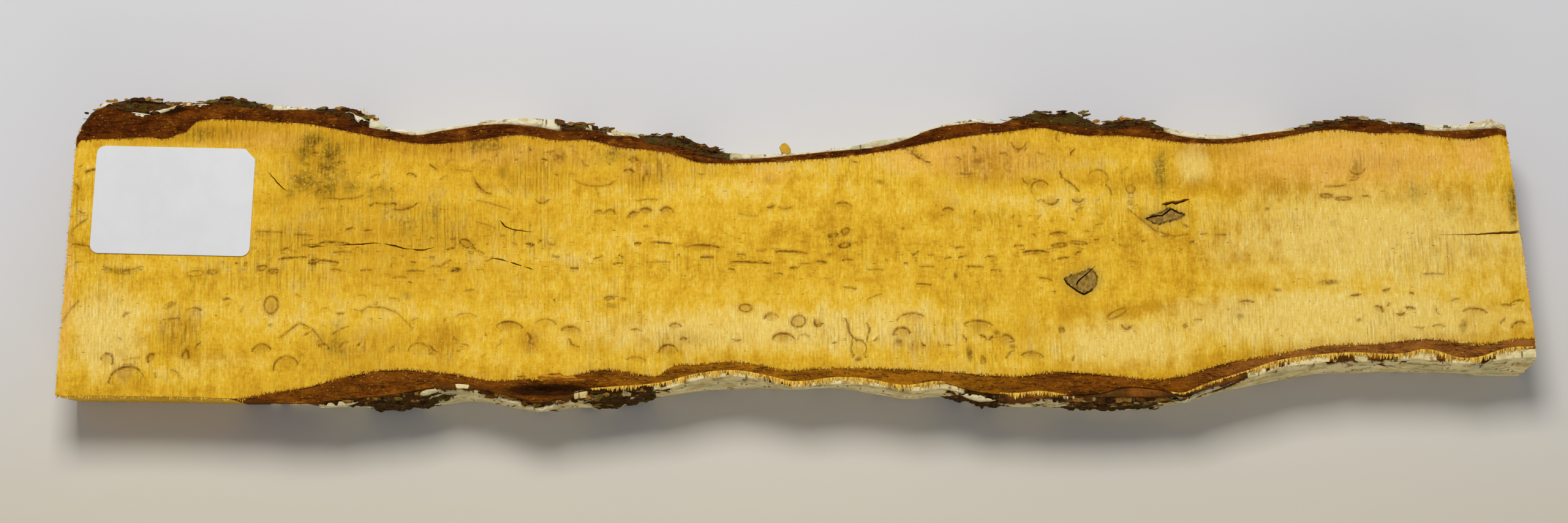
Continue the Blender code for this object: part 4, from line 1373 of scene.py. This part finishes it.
def wood_finish():
    """Rough-sawn golden birch: soft zones of straw, amber, olive and pink, dark saw scratches
    across the grain with painted shade in the saw's grooves, brown figure marks, knots, rings on
    the sawn ends, and the walls of the cracks darkened as painted shade."""
    f, place = new_finish("sawn_birch_wood", 0.06)
    x, y, z = f.split(place)
    broad = f.noise(f.stretch(place, 0.006, 0.05, 0.04), 4, 0.55)
    blotch = f.noise(f.stretch(place, 0.15, 0.08, 0.12), 5, 0.6)
    streak = f.noise(f.stretch(place, 0.7, 0.05, 0.1), 3, 0.6)
    mottle = f.noise(f.stretch(place, 0.45, 0.5, 0.5), 4, 0.65)
    grit = f.noise(f.stretch(place, 1.7, 1.5, 1.6), 3, 0.7)
    crumble = f.times(f.less(blotch, 0.5), 1.5)
    fibre = f.use(FIBRES, Place=place, Width=0.5)["Shade"]
    saw = f.use(SAW_MARKS, Place=place)

    def zone(name, low=0.3, high=0.85, crumbled=0.5):
        """A mask from a soft zone kept on the mesh, with its edge broken up."""
        return f.rise(f.sum(f.attribute(name)[1], f.times(crumble, crumbled)), low, high)

    pale, stain, mould = zone("pale"), zone("stain", 0.2, 0.95), zone("mould", 0.14, 0.9, 0.9)
    figure = f.attribute("figure")[1]
    tone = f.sum(f.sum(f.times(broad, 0.4), f.times(blotch, 0.38)), f.times(mottle, 0.22))
    colour = f.mix(f.rise(tone, 0.38, 0.55), OCHRE, GOLD)
    colour = f.lay(colour, STRAW, f.rise(tone, 0.49, 0.63), 0.6)
    colour = f.lay(colour, AMBER, f.rise(tone, 0.47, 0.35), 0.42)
    colour = f.lay(colour, STRAW, pale, 0.78)
    colour = f.lay(colour, PINK, zone("blush", 0.2, 0.9), 0.62)
    broken = f.times(f.rise(mottle, 0.36, 0.6), 0.4)
    streaky = f.sum(broken, f.times(f.rise(streak, 0.42, 0.6), 0.42))
    colour = f.lay(colour, AMBER, stain, f.sum(streaky, 0.16))
    speckled = f.times(mould, f.rise(f.sum(f.times(mottle, 0.6), f.times(grit, 0.4)), 0.42, 0.56))
    colour = f.lay(colour, OLIVE, mould, 0.5)
    colour = f.lay(colour, (0.13, 0.065, 0.001), speckled, 0.72)
    under_arch = f.times(f.rise(f.sum(figure, f.times(crumble, 0.6)), 0.1, 0.75), 0.72)
    colour = f.mix(under_arch, colour, AMBER)

    # short lens-shaped flecks, thick near the heart of the log and sparse elsewhere
    distance, random = f.cells(f.stretch(place, 0.17, 0.62, 0.6))[:2]
    pick = f.split(random)
    heart = f.times(f.rise(f.size(y), 22, 4), f.rise(x, 250, 120))
    crowd = f.sum(f.times(heart, 0.24), f.times(f.rise(broad, 0.42, 0.65), 0.07))
    chosen = f.rise(pick[1], f.less(0.95, crowd), 0.97)
    lens = f.times(f.rise(distance, 0.24, 0.08), chosen)
    rim_line = f.rise(f.size(f.less(distance, 0.24)), 0.07, 0.02)
    rim = f.times(rim_line, f.times(f.rise(pick[2], 0.84, 0.88), f.sum(f.times(heart, 0.8), 0.2)))
    fleck = f.times(f.most(lens, f.times(rim, 0.6)), f.rise(mottle, 0.3, 0.55))
    colour = f.lay(colour, (0.17, 0.068, 0.003), fleck, 0.75)

    # marks whose lines were worked out on the mesh
    away, half, dark = f.split(f.attribute("mark")[0])
    wobble = f.times(f.less(f.noise(f.stretch(place, 0.6, 0.6, 0.6), 3, 0.65), 0.5), 1.1)
    off = f.size(f.sum(away, wobble))
    uneven = f.sum(f.times(f.rise(mottle, 0.34, 0.6), 0.75), 0.25)
    soft = f.rise(off, f.sum(f.times(half, 1.5), 0.5), f.times(half, 0.4))
    core = f.times(f.times(soft, dark), uneven)
    halo = f.times(f.times(f.rise(off, 2.2, 0.1), dark), f.rise(blotch, 0.36, 0.56))
    colour = f.lay(colour, AMBER, halo, 0.6)
    colour = f.lay(colour, MARK_BROWN, core, 0.88)

    # the last of the wood before the bark is torn and browner
    rim = f.attribute("rim")[1]
    tooth = f.noise(f.join(f.times(x, 1.1), f.times(y, 0.25), f.times(z, 0.3)), 3, 0.7)
    torn = f.rise(f.less(rim, f.times(f.less(tooth, 0.44), 7)), 0.25, -0.15)
    colour = f.lay(colour, AMBER, f.rise(rim, 7, 0), 0.28)
    colour = f.lay(colour, (0.17, 0.055, 0.004), torn, 0.8)

    # knots, with a grey-brown heart and a dark broken rim
    knot = f.sum(f.attribute("knot")[1], f.times(f.less(mottle, 0.5), 3))
    swirl = f.noise(f.stretch(place, 0.5, 0.3, 0.5), 4, 0.65)
    colour = f.lay(colour, (0.42, 0.25, 0.03), f.rise(knot, -5.5, -0.3), 0.42)
    inside = f.rise(knot, -0.5, 0.7)
    heartwood = f.mix(f.rise(swirl, 0.32, 0.66), (0.17, 0.09, 0.012), (0.44, 0.27, 0.05))
    colour = f.mix(inside, colour, heartwood)
    outline = f.times(f.rise(f.size(f.sum(knot, -0.1)), 0.9, 0.1), f.rise(swirl, 0.36, 0.54))
    colour = f.lay(colour, (0.05, 0.02, 0.004), outline, 0.9)

    # rings on the sawn ends, round the heart of the log just under the face
    normal = f.split(f.add("NewGeometry", {}).outputs["True Normal"])[0]
    end = f.times(f.rise(f.size(normal), 0.6, 0.8), f.rise(f.size(x), *END_ZONE))
    from_heart = f.add("VectorMath", {0: f.join(0.0, y, f.less(z, HEART_Z))}, operation="LENGTH")
    sway = f.times(f.noise(f.stretch(place, 0.09, 0.09, 0.09), 3), 3.0)
    rings = f.rise(f.wave(f.sum(f.times(from_heart.outputs["Value"], 0.44), sway)), 0.2, 1.0)
    end_colour = f.lay((0.60, 0.36, 0.06), (0.36, 0.17, 0.016), rings, 0.6)
    end_colour = f.lay(end_colour, (0.70, 0.47, 0.13), f.rise(blotch, 0.45, 0.7), 0.5)
    end_colour = f.lay(end_colour, (0.26, 0.12, 0.015), f.rise(grit, 0.5, 0.7), 0.4)
    colour = f.mix(end, colour, end_colour)

    # what the saw left: dark scratches with painted shade in its grooves, bright torn ridges, and
    # crumbs of dust
    flat = f.less(1.0, end)
    ridge = f.times(f.times(saw["Ridge"], f.sum(f.times(saw["Patch"], 0.7), 0.3)), flat)
    groove = f.times(saw["Groove"], f.times(f.sum(f.times(saw["Patch"], 0.6), 0.4), flat))
    paler = f.mix(1.0, colour, (1.1, 1.3, 2.6), "MULTIPLY")
    colour = f.lay(colour, paler, ridge, 0.4)
    # the grooves darkened: dark scratches, and painted shade in the saw's grooves
    colour = f.shade(colour, (0.58, 0.42, 0.16), groove, 0.42)
    wet = f.times(f.times(groove, f.most(mould, f.times(stain, 0.5))), 0.75)
    colour = f.mix(wet, colour, (0.07, 0.045, 0.004))
    colour = f.shade(colour, (0.66, 0.56, 0.36), fibre, 0.13)
    colour = f.shade(colour, (0.66, 0.52, 0.26), f.rise(grit, 0.42, 0.72), 0.32)
    torn_out = f.noise(f.stretch(place, 1.2, 0.22, 0.5), 4, 0.7)
    colour = f.shade(colour, (0.70, 0.54, 0.26), f.rise(torn_out, 0.5, 0.66), 0.4)
    colour = f.lay(colour, paler, f.rise(torn_out, 0.47, 0.33), 0.6)
    dust = f.use(SPECKS, Place=place, Size=0.6, Amount=0.07)["Mask"]
    colour = f.lay(colour, CREAM, dust, 0.4)
    dirt = f.use(SPECKS, Place=f.stretch(place, 1, 1.3, 1), Size=0.7, Amount=0.05)["Mask"]
    colour = f.lay(colour, (0.22, 0.1, 0.008), dirt, 0.6)
    # the walls of the cracks darkened near black: painted shade
    colour = f.lay(colour, (0.07, 0.03, 0.006), f.attribute("crack")[1], 0.9)

    height = f.sum(f.times(ridge, 0.07), f.times(groove, -0.07))
    height = f.sum(height, f.sum(f.times(grit, 0.14), f.times(mottle, 0.24)))
    height = f.less(height, f.sum(f.times(core, 0.1), f.times(fibre, 0.02)))
    return finish_with(f, colour, f.sum(0.55, f.times(grit, 0.2)), height)


def inner_bark_finish():
    """Red-brown inner bark sawn through: darker clouds, pale corky grains, more of them on the
    lower edge, and a yellower brown along the middle of the lower edge."""
    f, place = new_finish("inner_bark", 0.03)
    x, y = f.split(place)[:2]
    cloud = f.noise(f.stretch(place, 0.06, 0.16, 0.16), 5, 0.65)
    mottle = f.noise(f.stretch(place, 0.5, 0.9, 0.9), 4, 0.7)
    lower = f.rise(y, 10, -10)
    middle = f.rise(f.size(f.sum(x, -10.0)), 130, 60)
    right = f.rise(x, 190, 260)
    high = f.mix(f.rise(cloud, 0.34, 0.66), (0.175, 0.046, 0.003), (0.08, 0.016, 0.002))
    low = f.lay((0.25, 0.075, 0.004), (0.46, 0.18, 0.006), middle, 0.9)
    low = f.mix(right, low, (0.38, 0.14, 0.024))
    low = f.lay(low, (0.11, 0.03, 0.003), f.rise(cloud, 0.36, 0.64), 0.65)
    colour = f.mix(lower, high, low)
    dark = f.mix(1.0, colour, (0.40, 0.30, 0.22), "MULTIPLY")
    colour = f.lay(colour, dark, f.rise(mottle, 0.42, 0.66), 0.48)
    light = f.mix(0.5, colour, (0.42, 0.17, 0.02))
    colour = f.lay(colour, light, f.rise(mottle, 0.46, 0.3), 0.5)
    split = f.noise(f.stretch(place, 0.05, 0.55, 0.5), 4, 0.6)
    splits = f.times(f.rise(f.size(f.less(split, 0.52)), 0.016, 0.003), f.rise(cloud, 0.4, 0.55))
    colour = f.lay(colour, (0.025, 0.007, 0.001), splits, 0.75)
    orange = f.rise(f.noise(f.stretch(place, 0.1, 0.25, 0.2), 4, 0.65), 0.55, 0.68)
    colour = f.lay(colour, (0.36, 0.12, 0.006), orange, 0.6)
    amount = f.sum(f.times(lower, 0.2), 0.22)
    grain = f.use(SPECKS, Place=f.stretch(place, 0.7, 1.2, 1), Size=0.6, Amount=amount)["Mask"]
    colour = f.lay(colour, (0.58, 0.30, 0.04), grain, 0.55)
    pit = f.use(SPECKS, Place=f.stretch(place, 0.6, 1, 1.1), Size=0.8, Amount=0.22)["Mask"]
    colour = f.lay(colour, (0.03, 0.008, 0.002), pit, 0.6)
    # the hollows darkened near black by their depth: painted shade
    colour = f.lay(colour, (0.02, 0.007, 0.002), f.rise(f.attribute("hollow")[1], 0.15, 0.8), 0.85)
    height = f.less(f.sum(f.times(grain, 0.1), f.times(mottle, 0.9)), f.times(splits, 0.5))
    height = f.less(f.sum(height, f.times(cloud, 0.8)), f.times(pit, 0.2))
    return finish_with(f, colour, f.sum(0.6, f.times(mottle, 0.2)), height)


def outer_bark_finish():
    """Birch rind: cream paper with lenticel dashes that run round the trunk, torn through to tan in
    patches; brown flaking lumps edged with pale sheets and some lichen where it is crust; and
    smooth brown where it has come off."""
    f, place = new_finish("outer_bark", 0.05)
    y = f.split(place)[1]
    crust, bare = f.attribute("crust")[1], f.attribute("bare")[1]
    grime = f.noise(f.stretch(place, 0.08, 0.12, 0.12), 5, 0.62)
    fine = f.noise(f.stretch(place, 0.7, 1.0, 1.0), 5, 0.68)
    sheets = f.noise(f.stretch(place, 0.12, 0.9, 0.9), 4, 0.6)
    lower = f.rise(y, 10, -10)
    paper = f.mix(lower, (0.84, 0.76, 0.50), (0.92, 0.76, 0.38))
    paper = f.lay(paper, (0.56, 0.40, 0.13), f.rise(grime, 0.44, 0.66), 0.8)
    paper = f.lay(paper, (0.50, 0.40, 0.17), f.rise(sheets, 0.52, 0.64), 0.3)
    green = f.use(BLOTCHES, Place=f.stretch(place, 0.6, 1, 1), Size=9.0, Cover=0.4)["Mask"]
    paper = f.lay(paper, (0.44, 0.45, 0.22), green, 0.5)
    torn = f.use(BLOTCHES, Place=f.stretch(place, 0.8, 1.3, 1.2), Size=5.0, Cover=0.32)["Mask"]
    paper = f.lay(paper, (0.32, 0.16, 0.03), torn, 0.7)
    distance, random = f.cells(f.stretch(place, 0.42, 0.1, 0.1))[:2]
    dash = f.times(f.rise(distance, 0.30, 0.14), f.rise(f.split(random)[0], 0.6, 0.64))
    paper = f.lay(paper, (0.10, 0.05, 0.012), dash, 0.8)
    dots = f.use(SPECKS, Place=place, Size=0.9, Amount=0.22)["Mask"]
    paper = f.lay(paper, (0.16, 0.11, 0.03), dots, 0.5)

    rough = f.mix(f.rise(fine, 0.40, 0.62), (0.022, 0.008, 0.002), (0.14, 0.055, 0.008))
    rough = f.lay(rough, (0.20, 0.07, 0.008), f.rise(sheets, 0.5, 0.6), 0.6)
    moss = f.use(BLOTCHES, Place=place, Size=8.0, Cover=0.38)["Mask"]
    rough = f.lay(rough, (0.10, 0.085, 0.008), moss, 0.65)
    edge_line = f.times(f.rise(f.size(f.less(sheets, 0.53)), 0.010, 0.002), f.rise(grime, 0.42, 0.6))
    rough = f.lay(rough, (0.45, 0.36, 0.15), edge_line, 0.6)
    lichen = f.use(SPECKS, Place=place, Size=1.6, Amount=0.12)["Mask"]
    rough = f.lay(rough, (0.34, 0.34, 0.16), lichen, 0.4)

    smooth = f.mix(f.rise(grime, 0.38, 0.6), (0.28, 0.09, 0.008), (0.09, 0.036, 0.006))
    smooth = f.lay(smooth, (0.06, 0.025, 0.006), f.rise(fine, 0.45, 0.7), 0.6)

    ragged = f.times(f.less(fine, 0.5), 1.4)
    colour = f.mix(f.rise(f.sum(crust, ragged), 0.3, 0.6), paper, rough)
    colour = f.mix(f.rise(f.sum(bare, ragged), 0.35, 0.6), colour, smooth)
    height = f.times(fine, f.sum(0.5, f.times(crust, 1.8)))
    height = f.less(f.sum(height, f.times(sheets, 0.5)), f.times(dash, 0.25))
    return finish_with(f, colour, f.sum(0.55, f.times(grime, 0.25)), height)


def fringe_finish():
    """Dry torn fibres, straw to ochre, each its own tint, the lowest tints browner."""
    f, place = new_finish("torn_fibres", 0.12)
    tint = f.attribute("tint")[1]
    mottle = f.noise(f.stretch(place, 0.8, 0.8, 0.8), 3, 0.6)
    colour = f.mix(f.rise(tint, 0.1, 0.9), (0.60, 0.31, 0.02), (0.90, 0.60, 0.09))
    colour = f.lay(colour, (0.28, 0.11, 0.01), f.rise(tint, 0.2, 0.05), 0.7)
    colour = f.lay(colour, (0.46, 0.22, 0.02), f.rise(mottle, 0.45, 0.65), 0.5)
    return finish_with(f, colour, f.sum(0.55, f.times(mottle, 0.2)), f.times(mottle, 0.2))


def paper_finish():
    """Loose papery bark: cream with tan and grey-green clouds and thin lines along its layers."""
    f, place = new_finish("papery_bark", 0.15)
    cloud = f.noise(f.stretch(place, 0.16, 0.3, 0.3), 4, 0.62)
    sheets = f.noise(f.stretch(place, 0.25, 1.8, 1.8), 3, 0.6)
    lower = f.rise(f.split(place)[1], 10, -10)
    colour = f.mix(lower, (0.84, 0.80, 0.60), (0.76, 0.66, 0.38))
    colour = f.lay(colour, (0.52, 0.38, 0.14), f.rise(cloud, 0.46, 0.66), 0.8)
    colour = f.lay(colour, (0.50, 0.52, 0.30), f.rise(cloud, 0.44, 0.32), 0.5)
    colour = f.lay(colour, (0.28, 0.15, 0.04), f.rise(sheets, 0.54, 0.64), 0.6)
    dots = f.use(SPECKS, Place=place, Size=0.8, Amount=0.2)["Mask"]
    colour = f.lay(colour, (0.16, 0.10, 0.03), dots, 0.5)
    height = f.sum(f.times(cloud, 0.5), f.times(sheets, 0.3))
    return finish_with(f, colour, f.sum(0.5, f.times(cloud, 0.25)), height)


def flake_finish():
    """Loose bark: mostly dark brown, some of it tan, olive or cream, each flake its own."""
    f, place = new_finish("loose_flakes", 0.05)
    tint = f.attribute("tint")[1]
    mottle = f.noise(f.stretch(place, 0.6, 0.9, 0.9), 4, 0.65)
    colour = f.mix(f.rise(tint, 0.0, 0.45), (0.035, 0.013, 0.003), (0.16, 0.06, 0.008))
    colour = f.mix(f.rise(tint, 0.5, 0.52), colour, (0.17, 0.13, 0.02))
    colour = f.mix(f.rise(tint, 0.66, 0.68), colour, (0.36, 0.18, 0.03))
    colour = f.mix(f.rise(tint, 0.90, 0.92), colour, (0.44, 0.34, 0.15))
    colour = f.shade(colour, (0.35, 0.26, 0.2), f.rise(mottle, 0.42, 0.62), 0.7)
    return finish_with(f, colour, f.sum(0.6, f.times(mottle, 0.2)), f.times(mottle, 0.6))


def flap_finish():
    """A torn flap of orange-brown inner bark with darker threads along it."""
    f, place = new_finish("torn_flap", 0.05)
    thread = f.noise(f.stretch(place, 0.06, 1.2, 1.2), 3, 0.6)
    mottle = f.noise(f.stretch(place, 0.25, 0.7, 0.7), 4, 0.65)
    colour = f.mix(f.rise(thread, 0.38, 0.62), (0.62, 0.28, 0.012), (0.30, 0.09, 0.004))
    colour = f.lay(colour, (0.12, 0.035, 0.003), f.rise(mottle, 0.46, 0.66), 0.7)
    height = f.sum(f.times(mottle, 0.4), f.times(thread, 0.4))
    return finish_with(f, colour, f.sum(0.5, f.times(mottle, 0.2)), height)


def chip_finish():
    """A broken chip: golden wood on top and brown bark below."""
    f, place = new_finish("caught_chip", 0.12)
    mottle = f.noise(f.stretch(place, 0.6, 0.6, 0.6), 4, 0.65)
    z = f.split(place)[2]
    wood_part = f.rise(f.sum(z, f.times(f.less(mottle, 0.5), 6)), 34.6, 36.4)
    colour = f.mix(wood_part, (0.12, 0.04, 0.006), (0.72, 0.40, 0.03))
    thread = f.use(FIBRES, Place=place, Width=0.5)["Shade"]
    colour = f.shade(colour, (0.5, 0.4, 0.3), thread, 0.4)
    return finish_with(f, colour, f.sum(0.55, f.times(mottle, 0.2)), f.times(mottle, 0.8))


def card_finish():
    """Blank white card: very faint mottling, with a few crumbs of sawdust on it."""
    f, place = new_finish("white_card", 0.35)
    cloud = f.noise(f.stretch(place, 0.06, 0.06, 0.06), 3, 0.6)
    fine = f.noise(f.stretch(place, 2.5, 2.5, 2.5), 2, 0.6)
    colour = f.mix(f.rise(cloud, 0.3, 0.7), (0.68, 0.685, 0.695), (0.65, 0.655, 0.665))
    crumb = f.use(SPECKS, Place=place, Size=0.5, Amount=0.02)["Mask"]
    colour = f.lay(colour, (0.55, 0.45, 0.3), crumb, 0.4)
    return finish_with(f, colour, f.sum(0.42, f.times(fine, 0.12)), f.times(fine, 0.03))


def backdrop_finish():
    """Pale paper, a little warmer towards the camera."""
    f, place = new_finish("backdrop_paper", 0.2)
    y = f.split(place)[1]
    colour = f.mix(f.rise(y, 60, -260), (0.68, 0.68, 0.70), (0.64, 0.565, 0.38))
    cloud = f.noise(f.stretch(place, 0.004, 0.004, 0.004), 2)
    colour = f.lay(colour, (0.55, 0.53, 0.5), cloud, 0.2)
    f.put(f.shader.inputs["Base Color"], colour)
    f.put(f.shader.inputs["Roughness"], 0.75)
    return f.material


# ---------------------------------------------------------------- camera, floor and light
CAMERA_AT = (-6.9 * MM, -329.1 * MM, 1504.6 * MM)
CAMERA_TILT = math.radians(12.4)
CAMERA_LENS = 66.4  # millimetres
CAMERA_SEES = (0.01, 50)  # metres, from the nearest to the farthest
FLOOR_HALF = 4.0  # metres
FLOOR_DROP = 0.1 * MM  # the floor lies this far under the board, clear of its sawn back


SKY_COLOUR, SKY_STRENGTH = (0.86, 0.88, 0.94), 0.27
# Name, place and size in metres, power in watts and colour.
LIGHTS = [
    ("key", (-0.22, 0.85, 1.6), 0.7, 26.5, (1, 0.98, 0.95)),
    ("fill", (0.3, -1.7, 0.7), 1.0, 6, (1, 1, 1)),
]


def make_camera():
    """A camera above the lower edge, tipped towards the board so that its lower bark shows."""
    camera = bpy.data.objects.new("camera", bpy.data.cameras.new("camera"))
    camera.location = CAMERA_AT
    camera.rotation_euler = (CAMERA_TILT, 0, 0)
    camera.data.lens = CAMERA_LENS
    camera.data.clip_start, camera.data.clip_end = CAMERA_SEES
    bpy.context.scene.collection.objects.link(camera)
    bpy.context.scene.camera = camera


def area_light(name, place, size, power, colour):
    """A square soft light that faces the origin, under the middle of the board."""
    lamp = bpy.data.lights.new(name, "AREA")
    lamp.size, lamp.energy, lamp.color = size, power, colour
    light = bpy.data.objects.new(name, lamp)
    light.location = place
    light.rotation_euler = (-Vector(place)).to_track_quat("-Z", "Y").to_euler()
    bpy.context.scene.collection.objects.link(light)


def make_studio():
    """A pale floor, a pale sky and soft lights."""
    corners = [(-1, -1), (1, -1), (1, 1), (-1, 1)]
    points = [(x * FLOOR_HALF, y * FLOOR_HALF, -FLOOR_DROP) for x, y in corners]
    mesh = bpy.data.meshes.new("floor")
    mesh.from_pydata(points, [], [(0, 1, 2, 3)])
    floor = bpy.data.objects.new("floor", mesh)
    bpy.context.scene.collection.objects.link(floor)
    mesh.materials.append(backdrop_finish())
    world = bpy.data.worlds.new("studio")
    world.use_nodes = True
    sky = world.node_tree.nodes["Background"]
    sky.inputs["Color"].default_value = (*SKY_COLOUR, 1)
    sky.inputs["Strength"].default_value = SKY_STRENGTH
    bpy.context.scene.world = world
    for light in LIGHTS:
        area_light(*light)


# ---------------------------------------------------------------- putting it together
LOWER_BARK_FROM = 0.118  # share of the length at which the lower edge's bark starts

bpy.context.scene.view_settings.view_transform = "Standard"
make_camera()
make_studio()
wood = make_wood()
cut_cracks(wood)
store_wood_fields(wood.data)
inner_finish, outer_finish = inner_bark_finish(), outer_bark_finish()
fringe = fringe_finish()
pieces = [
    (wood, wood_finish(), "sawn_birch"),
    (make_inner_bark(UPPER, "upper_inner_bark"), inner_finish, "inner_bark"),
    (make_inner_bark(LOWER, "lower_inner_bark", LOWER_BARK_FROM), inner_finish, "inner_bark"),
    (make_skin(UPPER, "upper_outer_bark"), outer_finish, "outer_bark"),
    (make_skin(LOWER, "lower_outer_bark", LOWER_BARK_FROM), outer_finish, "outer_bark"),
    (make_fringe(), fringe, "inner_bark"),
    (make_chip(), chip_finish(), "sawn_birch"),
]
paper = paper_finish()
for index, curl in enumerate(CURLS):
    pieces.append((make_curl(f"paper_curl_{index + 1}", index, *curl), paper, "outer_bark"))
pieces.append((make_curl("torn_flap", FLAP_INDEX, *FLAP), flap_finish(), "inner_bark"))
pieces += [(make_flakes(), flake_finish(), "outer_bark"), (make_fuzz(), fringe, "sawn_birch")]
for piece, finish, slot in pieces:
    piece.data.materials.append(finish)
    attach(piece, "root")
    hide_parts("birch_slab")
for tag_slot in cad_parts["blank_tag"].material_slots:
    tag_slot.material = card_finish()
